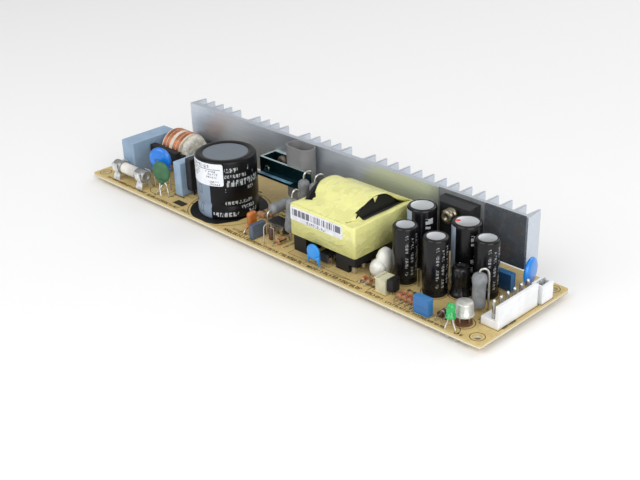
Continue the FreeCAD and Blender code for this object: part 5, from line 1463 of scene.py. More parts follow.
@dataclass
class SwitchGroup:
    """Switching transistor in its sleeve and the clamp that holds it to the sink."""

    def dress(self) -> None:
        """Finish the group and lay the clamp's flange strip, painted pale blue as a painted
        highlight.
        """
        BENCH.dress("switching_transistor", BLACK_MOULDING)
        BENCH.dress("transistor_sleeve",
                    Finish("silicone_sleeve", (0.20, 0.20, 0.205), roughness=0.6,
                                                mottle=0.05))
        low, high = BENCH.box("transistor_clamp")
        BENCH.dress("transistor_clamp", Plated("clamp_sheet", (0.008, 0.04, 0.05), roughness=0.2,
                                               metallic=0.75, mottle=0.3, patch=6.0,
                                               rim=high.z - 0.05))
        flange = rounded_block((low.x + 0.1, low.y, low.z + 1.0),
                               (high.x - 9.8, low.y + 1.9, low.z + 1.06),
                               0.02, 1)
        # painted highlight: the flange is the clamp's own sheet, painted pale blue where its top is
        # lit
        blue = Finish("flange_highlight", (0.20, 0.38, 0.52), roughness=0.35, metallic=0.0, mottle=0.3,
                      patch=5.0)
        BENCH.piece("clamp_flange", flange, blue, "clamp_steel")
        BENCH.dress("clamp_screw",
                    Finish("screw_dull", (0.16, 0.13, 0.11), roughness=0.5, metallic=0.6))
        self.front_screw(low)

    def front_screw(self, low: Vector) -> None:
        """Turn the round screw head that shows on the clamp's front wall."""
        spot = (80.7, low.y + 2.0, 13.7)
        head = turned([(0, 0), (1.5, 0), (1.5, 0.25), (1.1, 0.7), (0.45, 0.85), (0.4, 0.6),
                       (0, 0.6)],
                      spot, steps=28)
        bmesh.ops.rotate(head, cent=spot, matrix=Matrix.Rotation(math.pi / 2, 3, "X"),
                         verts=head.verts)
        dark = Finish("screw_dark", (0.10, 0.14, 0.14), roughness=0.25, metallic=0.9)
        BENCH.piece("clamp_front_screw", head, dark, "clamp_steel", smooth=True)


GREY_COATING = Finish("grey_coating", (0.215, 0.225, 0.235), roughness=0.5, mottle=0.14, patch=2.0,
                      grain=0.7, depth=0.06, specular=0.4)


def resistor_body(low: Point, high: Point, radius: float, waist: float = 0.9) -> bmesh.types.BMesh:
    """Make a dipped resistor body with swollen ends and a waist between them.

    Args:
        low: Middle of its lower end.
        high: Middle of its upper end.
        radius: Radius of the ends.
        waist: Radius of the middle, as a share of the ends'.

    Returns:
        The closed form.
    """
    long = (Vector(high) - Vector(low)).length
    shape = ((0, 0), (0.30, 0.0), (0.62, 0.02), (0.88, 0.06), (1.0, 0.13), (1.0, 0.2),
             (waist, 0.32),
             (waist, 0.68), (1.0, 0.8), (1.0, 0.87), (0.88, 0.94), (0.62, 0.98), (0.30, 1.0),
             (0, 1.0))
    form = turned([(radius * r, long * h) for r, h in shape], (0.0, 0.0, 0.0), steps=40)
    lumpy(form, radius * 0.05, 2.2, low[0])
    return leaning(form, low, high)


@dataclass
class ControlGroup:
    """Control chip and the small parts round it."""

    lead_radius: float = 0.45

    def dress(self) -> None:
        """Shape and finish the group."""
        low, high = BENCH.box("control_ic")
        chip = Region((low.x - 1, low.y + 0.52, 0.7), (high.x + 1, high.y - 0.52, 9))
        BENCH.dress("control_ic", Leaded("chip_moulding", (0.02, 0.02, 0.022), roughness=0.45,
                                         regions=(chip,)))
        self.leaf()
        self.slate()
        self.standing("snubber_resistor_1", (115.9, 11.9, 3.5), (116.3, 13.3, 17.3), (116.9, 16.35))
        self.standing("snubber_resistor_2", (106.8, 28.4, 3.6), (106.9, 28.6, 17.5), (107.7, 32.5))
        self.standing("snubber_resistor_3", (112.4, 29.2, 3.6), (112.5, 29.4, 17.5), (113.3, 33.3))
        self.startup()
        self.small_parts()

    def leaf(self) -> None:
        """Dip the orange film capacitor on its two short leads."""
        form = rounded_block((96.5, 6.3, 1.0), (98.9, 10.6, 7.9), 1.1, 5)
        gather(form, drip((97.7, 6.9, 2.6), (97.7, 4.6, 0.9), 0.8, 0.3))
        finish = Finish("orange_coating", (0.50, 0.15, 0.022), roughness=0.45, coat=0.3,
                        mottle=0.15, grain=1.0,
                        depth=0.08)
        piece = BENCH.piece("orange_capacitor", form, finish, "coating_orange", smooth=True)
        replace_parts(piece, "orange_film_capacitor")
        leads = wire([(97.7, 9.8, 1.6), (97.7, 9.8, 0.8), (97.7, 9.8, 0.0)], 0.3)
        gather(leads, wire([(97.7, 5.2, 1.4), (97.7, 4.3, 0.9), (97.7, 3.8, 0.0)], 0.3))
        BENCH.leads("orange_leads", leads)

    def slate(self) -> None:
        """Round the edges of the small slate film capacitor."""
        low, high = BENCH.box("control_film_capacitor")
        form = rounded_block((low.x, low.y, 0.0), tuple(high), 0.22, 2)
        finish = Finish("slate_case", (0.075, 0.10, 0.135), roughness=0.42, mottle=0.08)
        piece = BENCH.piece("slate_capacitor", form, finish, "case_slate")
        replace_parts(piece, "control_film_capacitor")

    def standing(self, node: str, foot: Point, head: Point, land: tuple[float, float]) -> None:
        """Make a resistor that stands on end, its upper lead looped over and down to the board.

        Args:
            node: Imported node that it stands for.
            foot: Middle of the body's lower end.
            head: Middle of its upper end.
            land: Where the looped lead meets the board.
        """
        body = BENCH.piece(f"{node}_body", resistor_body(foot, head, 2.35, 0.93), GREY_COATING,
                           "resistor_grey",
                           smooth=True)
        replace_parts(body, node)
        x, y = land
        over = [head, (head[0], head[1], head[2] + 1.4), (head[0] + 0.2, head[1] + 0.6, 20.2),
                ((head[0] + x) / 2, (head[1] + y) / 2, 20.6), (x, y - 0.3, 20.0), (x, y, 18.0),
                (x, y, 9.0),
                (x, y, 0.0)]
        leads = wire(over, self.lead_radius)
        gather(leads, wire([foot, (foot[0], foot[1], 1.6), (foot[0], foot[1], 0.0)],
                           self.lead_radius))
        BENCH.leads(f"{node}_leads", leads)

    def startup(self) -> None:
        """Make the fat grey resistor that lies above the chip on its long leads."""
        low, high = BENCH.box("startup_resistor")
        x = (low.x + high.x) / 2
        z = high.z - 2.3
        form = resistor_body((x, low.y + 2.2, z), (x, high.y - 3.4, z), 2.3, 0.95)
        body = BENCH.piece("startup_body", form, GREY_COATING, "resistor_grey", smooth=True)
        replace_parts(body, "startup_resistor")
        leads = bmesh.new()
        for end, inner in ((low.y + 0.45, low.y + 3.0), (high.y - 0.45, high.y - 3.0)):
            gather(leads, wire([(x, inner, z), (x, end, z), (x, end, z * 0.6), (x, end, 0.0)],
                               self.lead_radius))
        BENCH.leads("startup_leads", leads)

    def small_parts(self) -> None:
        """Finish the small diodes and banded resistors."""
        BENCH.dress("axial_resistors", Banded(
            "axial_coating", (0.42, 0.22, 0.11), roughness=0.4, regions=(
                Region((175.0, 5.05, -1.0), (186.0, 9.0, 4.0)),
                Region((90.2, 17.0, -1.0), (94.7, 20.0, 4.0)),
                Region((91.8, 20.0, -1.0), (96.5, 23.0, 4.0)),
                Region((112.5, 5.8, -1.0), (116.0, 9.8, 4.0))),
            bands=((5.6, (0.45, 0.03, 0.02)), (6.4, (0.05, 0.02, 0.01)), (7.2, (0.5, 0.05, 0.02)),
                   (8.4, (0.4, 0.28, 0.06)))))
        BENCH.dress("small_diodes", Banded(
            "diode_glass", (0.06, 0.02, 0.012), roughness=0.2, coat=0.5, regions=(
                Region((194.0, 5.05, -1.0), (199.5, 9.0, 4.0)),
                Region((109.0, 5.0, 1.0), (114.0, 7.6, 6.1))),
            bands=((8.2, (0.5, 0.48, 0.42)), (6.3, (0.45, 0.43, 0.38)))))


@dataclass(frozen=True)
class Tape(Finish):
    """Yellow tape: soft creases and the edges of its layers."""

    def paint(self, shader: Shader) -> None:
        """Fill the surface shader."""
        crease = shader.noise(5.0, (1, 1, 0.6), detail=2.0)
        sharp = 1 - (crease - 0.5).size() * 14
        fold = sharp.ease(0.2, 1.0)
        fine = shader.noise(1.6, (1, 1, 0.5), detail=2.0)
        colour = shader.blend(crease.ease(0.35, 0.7), self.colour,
                              tuple(min(1, c * 1.12) for c in self.colour))
        colour = shader.blend(fold * 0.25, colour,
                              tuple(min(1, c * 1.3 + 0.06) for c in self.colour))
        shader.set("Base Color", colour)
        shader.set("Roughness", self.roughness + (fine - 0.5) * 0.25)
        shader.raise_by(fold * 0.5 + fine * 0.3 + crease, 0.2)


@dataclass
class TransformerGroup:
    """Transformer: taped belt, arched tape over the winding, bobbin, core and label."""

    tape: Tape = Tape("yellow_tape", (0.70, 0.69, 0.27), roughness=0.36, coat=0.2)
    sheet: float = 0.25
    corner: float = 0.9
    rim: float = 0.6
    axis_y: float = 21.2
    axis_z: float = 13.15
    arch_radius: float = 13.7
    slope_angle: float = 48.0
    rim_radius: float = 13.25
    rim_from: int = 33
    arch_left: float = 127.3
    arch_right: float = 152.35
    window_left: float = 127.0
    window_right: float = 152.2
    label_wide: float = 26.6
    label_low: float = 14.35
    label_high: float = 19.6

    def dress(self) -> None:
        """Finish the transformer, wrap its tape and stick its label on the belt."""
        ferrite = Finish("core_ferrite", (0.03, 0.03, 0.03), roughness=0.6)
        BENCH.dress("transformer_core", ferrite)
        BENCH.dress("transformer_bobbin",
                    Finish("black_bobbin", (0.012, 0.012, 0.013), roughness=0.4,
                                                 specular=0.3))
        BENCH.dress("transformer_pins", TINNED)
        self.belt()
        self.winding()
        self.label()

    def belt(self) -> None:
        """Wrap the tape round the core's sides and over its top, open for the winding."""
        low, high = BENCH.box("transformer_tape")
        form = block(low, high)
        sides = [e for e in form.edges if abs(e.verts[0].co.z - e.verts[1].co.z) > 1.0]
        soften(form, self.corner, sides, 4)
        top = [e for e in form.edges if all(v.co.z > high.z - 1e-3 for v in e.verts)]
        soften(form, self.rim, top, 3)
        flat = [f for f in form.faces if abs(f.normal.z) > 0.99 and len(f.verts) > 4]
        bmesh.ops.delete(form, geom=flat, context="FACES_ONLY")
        bmesh.ops.recalc_face_normals(form, faces=form.faces)
        bmesh.ops.solidify(form, geom=form.faces, thickness=self.sheet)
        gather(form, self.lid(low, high))
        belt = BENCH.piece("transformer_belt", form, self.tape, "tape_yellow", smooth=True)
        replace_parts(belt, "transformer_tape")

    def lid(self, low: Vector, high: Vector) -> bmesh.types.BMesh:
        """Make the belt's top: a creased sheet with an opening where the winding comes through.

        Args:
            low: The belt's lowest corner.
            high: The belt's highest corner.

        Returns:
            The closed form.
        """
        form = bmesh.new()
        bmesh.ops.create_grid(form, x_segments=66, y_segments=64, size=0.5)
        inset = self.rim + 0.15
        span = Vector((high.x - low.x - 2 * inset, high.y - low.y - 2 * inset, 1))
        bmesh.ops.scale(form, vec=span, verts=form.verts)
        bmesh.ops.translate(form, vec=((low.x + high.x) / 2, (low.y + high.y) / 2, high.z - 0.03),
                            verts=form.verts)
        inner = [f for f in form.faces if self.in_window(f.calc_center_median(), low, high)]
        bmesh.ops.delete(form, geom=inner, context="FACES")
        for vert in form.verts:
            vert.co.z += self.lift(vert.co, low, high)
        bmesh.ops.solidify(form, geom=form.faces, thickness=self.sheet)
        bmesh.ops.recalc_face_normals(form, faces=form.faces)
        return form

    def in_window(self, spot: Vector, low: Vector, high: Vector) -> bool:
        """Say whether a place on the lid lies in the opening for the winding."""
        front = low.y + (1.0 if spot.x < self.window_right - 2.5 else 7.3)
        across = front < spot.y < high.y - (1.0 if spot.x < self.window_right else 3.2)
        return across and self.window_left - 0.6 < spot.x < self.window_right + 0.9

    def lift(self, spot: Vector, low: Vector, high: Vector) -> float:
        """Give how far the lid is drawn up where it meets the winding's ends.

        Args:
            spot: Place on the lid.
            low: The belt's lowest corner.
            high: The belt's highest corner.

        Returns:
            The rise in millimetres.
        """
        near = max(0.0, 1 - abs(spot.x - self.window_left) / 3.2)
        along = max(0.0, 1 - abs(spot.y - 11.0) / 5.5)
        crease = 0.18 * noise.noise(Vector((spot.x / 4, spot.y / 6, 3.0)))
        edge = min(1.0, (spot.y - low.y) / 2, (high.y - spot.y) / 2)
        sag = 0.55 * max(0.0, 1 - abs(spot.x - self.window_right - 1.0) / 1.6)
        sag *= min(1.0, max(0.0, spot.y - 12.2), edge)
        return 1.15 * near * along * edge + crease * edge * 0.4 - sag

    def outline(self, radius: float, foot_y: float) -> list[tuple[float, float]]:
        """Give the arch's (y, z) outline: slope, arc and slope.

        Args:
            radius: Radius of the arc.
            foot_y: Where the front slope starts.

        Returns:
            The outline's points.
        """
        high = BENCH.box("transformer_tape")[1]
        start, end = self.slope_angle, 180 - self.slope_angle
        arc = [(self.axis_y - radius * math.cos(math.radians(start + (end - start) * i / 18)),
                self.axis_z + radius * math.sin(math.radians(start + (end - start) * i / 18)))
               for i in range(19)]
        slope = [(foot_y + (arc[0][0] - foot_y) * i / 5,
                  high.z - 0.1 + (arc[0][1] - high.z + 0.1) * i / 5)
                 for i in range(5)]
        back = [(2 * self.axis_y - y, z) for y, z in reversed(slope)]
        return slope + arc + back

    def winding(self) -> None:
        """Arch the tape over the winding, with a near-black sheet beside its left edge: bobbin and
        painted shade.
        """
        low, high = BENCH.box("transformer_tape")
        outline = self.outline(self.arch_radius, low.y + 0.75)
        form = strip([(self.arch_left, y, z) for y, z in outline],
                     (self.arch_right - self.arch_left, 0, 0), 30, self.sheet)
        for vert in form.verts:
            vert.co += self.draw(vert.co, high)
        for corners in (((150.8, 6.2, 20.75), (153.4, 12.7, 20.3), (151.0, 11.3, 22.9)),
                        ((152.6, 26.6, 25.7), (152.8, 33.7, 20.2), (155.6, 36.3, 20.6)),
                        ((152.55, 19.2, 26.6), (152.6, 21.4, 26.6), (152.45, 20.1, 24.3))):
            gather(form, self.flap(corners))
        arch = BENCH.piece("transformer_arch", form, self.tape, "tape_yellow", smooth=True)
        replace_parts(arch, "transformer_winding")
        core = strip([(self.window_left,
                       self.axis_y - self.rim_radius * math.cos(math.radians(angle)),
                       self.axis_z + self.rim_radius * math.sin(math.radians(angle)))
                      for angle in range(self.rim_from, 181 - self.rim_from, 6)],
                     (self.window_right - self.window_left, 0, 0), 2, self.sheet)
        # painted shade: this sheet is darker than the black bobbin and stands for it and the shade
        # under the tape
        shade = Finish("bobbin_shade", (0.006, 0.006, 0.006), roughness=0.6, specular=0.15)
        BENCH.piece("transformer_former", core, shade, "moulding_black", smooth=True)

    def draw(self, spot: Vector, high: Vector) -> Vector:
        """Give how far the tape is pulled at a point of the arch: its skewed ends and creases.

        Args:
            spot: Place on the arch.
            high: The belt's highest corner.

        Returns:
            The pull as a vector.
        """
        left = max(0.0, 1 - (spot.x - self.arch_left) / 5.0)
        skew = 2.6 * left * max(0.0, min(1.0, 1 - (spot.y - 10.7) / 7.0))
        if spot.y < 10.2 or spot.y > 2 * self.axis_y - 10.6:
            skew = -4.0 * left * max(0.0, 1 - abs(spot.z - high.z) / 2.6)
        dip = 1.3 * max(0.0, 1 - (spot.x - self.arch_left) / 8.0)
        dip *= max(0.0, 1 - abs(spot.y - 10.6) / 4.5)
        right = max(0.0, 1 - (self.arch_right - spot.x) / 9.0)
        slack = 1.5 * max(0.0, 1 - (self.arch_right - spot.x) / 4.0)
        skew -= slack * max(0.0, min(1.0, (15.0 - spot.y) / 3.5))
        behind = max(0.0, (spot.y - 26.4) / 10.0)
        pull = 2.9 * right * behind
        tent = 0.45 * right * math.sin(math.pi * min(1.0, behind)) if behind else 0.0
        crease = 0.16 * noise.noise(Vector((spot.x / 5, spot.y / 3.5, spot.z / 3.5)))
        return Vector((skew + pull, 0, crease - tent - dip))

    def flap(self, corners: tuple[Point, Point, Point]) -> bmesh.types.BMesh:
        """Make a small folded corner of tape between three points."""
        form = bmesh.new()
        bmesh.ops.contextual_create(form, geom=[form.verts.new(p) for p in corners])
        bmesh.ops.subdivide_edges(form, edges=form.edges, cuts=3, use_grid_fill=True)
        lumpy(form, 0.12, 1.4)
        bmesh.ops.solidify(form, geom=form.faces, thickness=self.sheet * 0.6)
        bmesh.ops.recalc_face_normals(form, faces=form.faces)
        return form

    def label(self) -> None:
        """Stick a white label with a row of bars on the front of the belt."""
        low = BENCH.box("transformer_tape")[0]
        left = low.x + 0.45
        form = rounded_block((left, low.y - 0.09, self.label_low),
                             (left + self.label_wide, low.y - 0.01, self.label_high), 0.03, 1)
        finish = BarLabel("bar_label", (0.70, 0.71, 0.76), roughness=0.5,
                          origin=(left, self.label_low),
                          wide=self.label_wide, tall=self.label_high - self.label_low)
        BENCH.piece("transformer_label", form, finish, "tape_yellow")


@dataclass(frozen=True)
class BarLabel(Finish):
    """White label with a row of upright bars and a row of small marks below."""

    origin: tuple[float, float] = (0.0, 0.0)
    wide: float = 25.0
    tall: float = 5.8
    ink: Colour = (0.07, 0.07, 0.10)

    def paint(self, shader: Shader) -> None:
        """Fill the surface shader."""
        x, _, z = shader.place()
        u = x - self.origin[0]
        v = z - self.origin[1]
        bars = shader.speckle(u * 2.7).over(0.36) * u.between(0.7, self.wide - 0.9)
        bars = bars * v.between(self.tall * 0.37, self.tall * 0.87)
        marks = shader.glyphs(u, v, 1.05, (self.tall * 0.04, self.tall * 0.26))
        marks = marks * u.between(self.wide * 0.3, self.wide * 0.68)
        shader.set("Base Color", shader.blend(bars.either(marks) * 0.9, self.tone(shader),
                                              self.ink))
        self.worn(shader, 2.0, 0.1)
        shader.raise_by(shader.noise(3.0), 0.05)


@dataclass(frozen=True)
class CouplerCase(Finish):
    """Cream coupler housing with a row of dark dashes along its top."""

    origin: tuple[float, float] = (0.0, 0.0)
    top: float = 5.6

    def paint(self, shader: Shader) -> None:
        """Fill the surface shader."""
        x, y, z = shader.place()
        marks = shader.glyphs(y - self.origin[1], x - self.origin[0], 0.9,
                              (1.0, 1.7)) * z.over(self.top - 0.3)
        shader.set("Base Color", shader.blend(marks * 0.85, self.tone(shader), (0.10, 0.09, 0.07)))
        self.worn(shader, 2.0, 0.1)
        shader.raise_by(shader.noise(0.6), 0.02)


@dataclass
class BarrierGroup:
    """Parts that bridge the two sides of the supply."""

    def dress(self) -> None:
        """Shape and finish the group."""
        self.safety_capacitor()
        self.bead()
        low, high = BENCH.box("feedback_optocoupler")
        chip = Region((low.x + 0.52, low.y - 1, 0.7), (high.x - 0.52, high.y + 1, 9))
        BENCH.dress("feedback_optocoupler",
                    Leaded("opto_moulding", (0.02, 0.02, 0.022), roughness=0.5,
                                                   regions=(chip,)))
        low, high = BENCH.box("isolating_coupler")
        BENCH.dress("isolating_coupler",
                    CouplerCase("coupler_case", (0.58, 0.56, 0.40), roughness=0.5,
                                                     origin=(low.x, low.y), top=high.z))
        self.regulator()
        self.side_resistors()

    def safety_capacitor(self) -> None:
        """Dip the azure disc in front of the transformer, with a run of coating down each lead."""
        form = coated_disc((137.4, 3.2, 5.6), 3.15, 1.75, 2.0)
        gather(form, drip((135.4, 3.2, 3.9), (134.3, 3.2, 0.9), 1.0, 0.35))
        gather(form, drip((139.4, 3.2, 4.2), (140.6, 3.2, 0.5), 1.2, 0.4))
        finish = Finish("azure_coating", (0.01, 0.24, 0.66), roughness=0.35, coat=0.4, mottle=0.06,
                        grain=1.2,
                        depth=0.08)
        piece = BENCH.piece("safety_disc", form, finish, "coating_azure", smooth=True)
        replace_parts(piece, "safety_capacitor")
        leads = wire([(134.4, 3.2, 1.4), (134.2, 3.2, 0.8), (134.1, 3.2, 0.0)], 0.28)
        gather(leads, wire([(140.5, 3.2, 1.2), (140.7, 3.2, 0.6), (140.7, 3.2, 0.0)], 0.28))
        BENCH.leads("safety_leads", leads)

    def bead(self) -> None:
        """Squeeze out the white bead: a tall lobe at the back and a low one in front."""
        low, high = BENCH.box("adhesive_bead")
        form = bmesh.new()
        lobes = (((160.5, 16.4, 5.0), (2.9, 3.8, 5.3)), ((160.1, 13.2, 3.2), (3.1, 2.9, 3.5)),
                 ((159.6, 17.6, 2.4), (2.6, 2.9, 2.5)))
        for seed, (centre, reach) in enumerate(lobes):
            lobe = bmesh.new()
            bmesh.ops.create_icosphere(lobe, subdivisions=4, radius=1.0)
            bmesh.ops.scale(lobe, vec=reach, verts=lobe.verts)
            lumpy(lobe, 0.16, 0.9, float(seed))
            bmesh.ops.translate(lobe, vec=centre, verts=lobe.verts)
            gather(form, lobe)
        for vert in form.verts:
            vert.co = Vector(max(a, min(b, c)) for a, b,
                             c in zip((low.x, low.y, 0.0), high, vert.co))
        finish = Finish("silicone_white", (0.74, 0.74, 0.69), roughness=0.38, coat=0.3, patch=3.0,
                        mottle=0.06,
                        grain=2.4, depth=0.3)
        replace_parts(BENCH.piece("silicone_bead", form, finish, "adhesive_white", smooth=True),
                    "adhesive_bead")

    def regulator(self) -> None:
        """Mould the small regulator, rounded on one side, on its three leads."""
        low, high = BENCH.box("shunt_regulator")
        form = block((low.x, low.y, 1.4), tuple(high))
        right = [e for e in form.edges if all(v.co.x > high.x - 1e-3 for v in e.verts)
                 and abs(e.verts[0].co.z - e.verts[1].co.z) > 1.0]
        soften(form, 1.5, right, 6)
        moulding = Finish("regulator_moulding", (0.01, 0.01, 0.011), roughness=0.4, specular=0.35)
        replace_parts(BENCH.piece("regulator_body", form, moulding, "moulding_black"),
                    "shunt_regulator")
        leads = bmesh.new()
        for i in (-1, 0, 1):
            y = (low.y + high.y) / 2 + 1.27 * i
            gather(leads, wire([(low.x + 1.1, y, 0.0), (low.x + 1.1, y, 0.8),
                                (low.x + 1.1, y, 1.6)], 0.24))
        BENCH.leads("regulator_leads", leads)

    def side_resistors(self) -> None:
        """Lay two small banded resistors between the transformer and the coupler."""
        leads = bmesh.new()
        for i, (x, y) in enumerate(((159.2, 4.2), (162.0, 4.0))):
            body = resistor_body((x, y + 1.6, 1.15), (x, y + 4.2, 1.15), 0.72, 0.82)
            tan = Banded(f"side_resistor_{i}", (0.50, 0.30, 0.17), roughness=0.4,
                         regions=(Region((x - 2, y, -1.0), (x + 2, y + 9.0, 4.0)),),
                         bands=((y + 2.2, (0.45, 0.03, 0.02)), (y + 2.9, (0.08, 0.02, 0.01)),
                                (y + 3.6, (0.5, 0.05, 0.02))))
            BENCH.piece(f"side_resistor_{i}", body, tan, "resistor_tan", smooth=True)
            gather(leads, wire([(x, y, 0.0), (x, y, 1.15), (x, y + 1.8, 1.15)], 0.26, 2))
            gather(leads, wire([(x, y + 4.0, 1.15), (x, y + 5.8, 1.15), (x, y + 5.8, 0.0)], 0.26,
                               2))
        BENCH.leads("side_resistor_leads", leads)


@dataclass(frozen=True)
class FilmCase(Finish):
    """Moulded film capacitor; its front face is painted shade, darker than its top and right side.
    """

    # face: the front face's colour, a painted shade of the case colour
    face: Colour = (0.02, 0.09, 0.24)
    front: float = 2.1
    print_from: tuple[float, float] = (186.0, 2.0)

    def paint(self, shader: Shader) -> None:
        """Fill the surface shader."""
        x, y, z = shader.place()
        # painted shade: the front face takes the darker face colour
        shaded_front = y.under(self.front + 0.12)
        colour = shader.blend(shaded_front, self.tone(shader), self.face)
        marks = shader.glyphs(x - self.print_from[0], z - self.print_from[1], 0.9, (0.0, 1.2), 2.0)
        colour = shader.blend(marks * shaded_front * 0.5, colour, tuple(c * 0.4 for c in self.face))
        shader.set("Base Color", colour)
        self.worn(shader, 2.0, 0.12)
        shader.raise_by(shader.noise(0.8), 0.02)


@dataclass
class OutputGroup:
    """Output capacitors, choke, load resistor, lamp and small parts at the output end."""

    def dress(self) -> None:
        """Shape and finish the group."""
        for i, stripe, dot, shine in ((1, None, None, 0.9), (2, (196.0, 268.0), None, 1.0),
                                      (3, None, None, 1.0), (4, (205.0, 262.0), 205.0, 1.0),
                                      (5, None, None, 0.9)):
            self.can(f"output_capacitor_{i}", stripe, dot, shine)
        self.choke()
        self.load()
        # painted shade: each front face is a darker copy of its case colour, the rear one darkest
        for side, face in (("front", (0.03, 0.15, 0.38)), ("rear", (0.018, 0.07, 0.17))):
            node = f"output_film_capacitor_{side}"
            low, high = BENCH.box(node)
            form = rounded_block(tuple(low), tuple(high), 0.2, 2)
            finish = FilmCase(f"film_blue_{side}", (0.045, 0.20, 0.46), roughness=0.4, mottle=0.05,
                              face=face,
                              front=low.y, print_from=(low.x + 0.8, 2.4))
            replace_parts(BENCH.piece(f"film_{side}", form, finish, "film_blue"), node)
        self.lamp()
        self.metal_can()
        self.disc()
        tab = rounded_block((175.85, 16.2, 0.0), (176.15, 17.6, 7.2), 0.1, 1)
        BENCH.piece("output_tab", tab, TINNED, "tinned_metal")

    def can(self, node: str, stripe: tuple[float, float] | None, dot: float | None,
            shine: float) -> None:
        """Turn one round capacitor with its print, and a stripe or dot where it has one.

        Args:
            node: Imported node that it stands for.
            stripe: Angles of its stripe, if it has one.
            dot: Angle of its dot, if it has one.
            shine: Brightness of its top.
        """
        low, high = BENCH.box(node)
        middle = (low + high) / 2
        radius = (high.x - low.x) / 2
        tall = high.z
        profile = [(0, 0), (radius - 0.5, 0), (radius - 0.12, 0.25), (radius, 0.7), (radius, 1.7),
                   (radius - 0.22, 2.1), (radius - 0.22, 2.6), (radius, 3.1), (radius, tall - 0.8),
                   (radius - 0.22, tall - 0.25), (radius - 0.7, tall), (radius - 1.2, tall - 0.03),
                   (radius - 1.45, tall - 0.22), (0, tall - 0.22)]
        big = radius > 5.0
        finish = CanSleeve(f"{node}_sleeve", (0.005, 0.005, 0.006), roughness=0.26, coat=0.1,
                           specular=0.3,
                           centre=(middle.x, middle.y), radius=radius, high=tall, top_lip=1.3,
                           top_colour=tuple(c * shine for c in (0.56, 0.58, 0.60)), stripe=stripe,
                           dot=dot,
                           column_arc=(-54.0, 22.0) if not big else (-50.0, 10.0),
                           columns=1 if big else 3,
                           letter=3.0 if big else 1.25,
                           ink=(0.5, 0.52, 0.54) if big else (0.25, 0.26, 0.27),
                           column_span=(3.5, tall - 2.5))
        form = turned(profile, (middle.x, middle.y, 0.0), steps=64)
        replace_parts(BENCH.piece(f"{node}_can", form, finish, "sleeve_black", smooth=True), node)

    def choke(self) -> None:
        """Turn the sleeved choke, wider above, with a strand of adhesive on it."""
        low, high = BENCH.box("output_choke")
        x, y = (low.x + high.x) / 2, (low.y + high.y) / 2
        foot, body = (high.x - low.x) / 2, 3.3
        profile = [(0, 0), (foot - 0.3, 0), (foot, 0.4), (foot, 1.2), (foot - 0.5, 1.6), (3.1, 4.4),
                   (3.0, 5.2),
                   (body, 6.0), (body, high.z - 1.2), (body - 0.5, high.z - 0.3),
                   (body - 1.1, high.z),
                   (1.5, high.z - 0.1), (1.2, high.z - 0.5), (0, high.z - 0.5)]
        form = turned(profile, (x, y, 0.0), steps=48)
        lumpy(form, 0.14, 2.6)
        sleeve = Finish("shrink_sleeve", (0.006, 0.006, 0.007), roughness=0.28, coat=0.15,
                        specular=0.35, grain=2.0,
                        depth=0.12)
        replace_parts(BENCH.piece("choke_sleeve", form, sleeve, "sleeve_black", smooth=True),
                    "output_choke")
        strand = wire([(x - 3.35, y - 0.8, 6.6), (x - 3.4, y - 0.2, 8.2), (x - 2.7, y + 0.8, 10.6),
                       (x - 1.5, y + 1.4, 11.0)], 0.45)
        lumpy(strand, 0.12, 0.9)
        white = Finish("glue_strand", (0.70, 0.70, 0.66), roughness=0.4, coat=0.3)
        BENCH.piece("choke_strand", strand, white, "adhesive_white", smooth=True)

    def load(self) -> None:
        """Make the standing load resistor with its looped lead."""
        foot, head = (201.75, 17.35, 1.0), (201.85, 17.45, 14.4)
        body = BENCH.piece("load_body", resistor_body(foot, head, 2.6, 0.88), GREY_COATING,
                           "resistor_grey",
                           smooth=True)
        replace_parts(body, "load_resistor")
        leads = wire([head, (201.9, 17.3, 15.2), (202.4, 17.8, 16.0), (203.3, 18.7, 16.1),
                      (204.0, 19.6, 15.0),
                      (204.15, 19.75, 12.0), (204.15, 19.75, 6.0), (204.15, 19.75, 0.0)], 0.38)
        gather(leads, wire([foot, (201.6, 17.1, 0.6), (201.6, 17.1, 0.0)], 0.38))
        BENCH.leads("load_leads", leads)

    def lamp(self) -> None:
        """Turn the green lamp with its rim and domed end, on two bent leads."""
        centre = (202.3, 1.9, 4.4)
        profile = [(0, 0), (1.8, 0), (1.85, 0.15), (1.85, 0.95), (1.5, 1.05), (1.5, 3.9),
                   (1.4, 4.5), (1.1, 5.05),
                   (0.6, 5.35), (0, 5.4)]
        lens = Finish("lamp_green", (0.01, 0.36, 0.075), roughness=0.16, coat=0.6, mottle=0.2,
                      patch=1.0)
        form = turned(profile, centre, steps=32)
        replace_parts(BENCH.piece("lamp_lens", form, lens, "lamp_green", smooth=True),
                    "indicator_led")
        leads = wire([(201.3, 1.9, 4.6), (201.3, 1.9, 2.4), (201.0, 1.5, 1.6), (200.9, 0.55, 0.0)],
                     0.3)
        gather(leads, wire([(203.3, 1.9, 4.6), (203.3, 1.9, 2.6), (204.2, 1.7, 1.6),
                            (204.9, 1.6, 0.0)], 0.3))
        BENCH.leads("lamp_leads", leads)

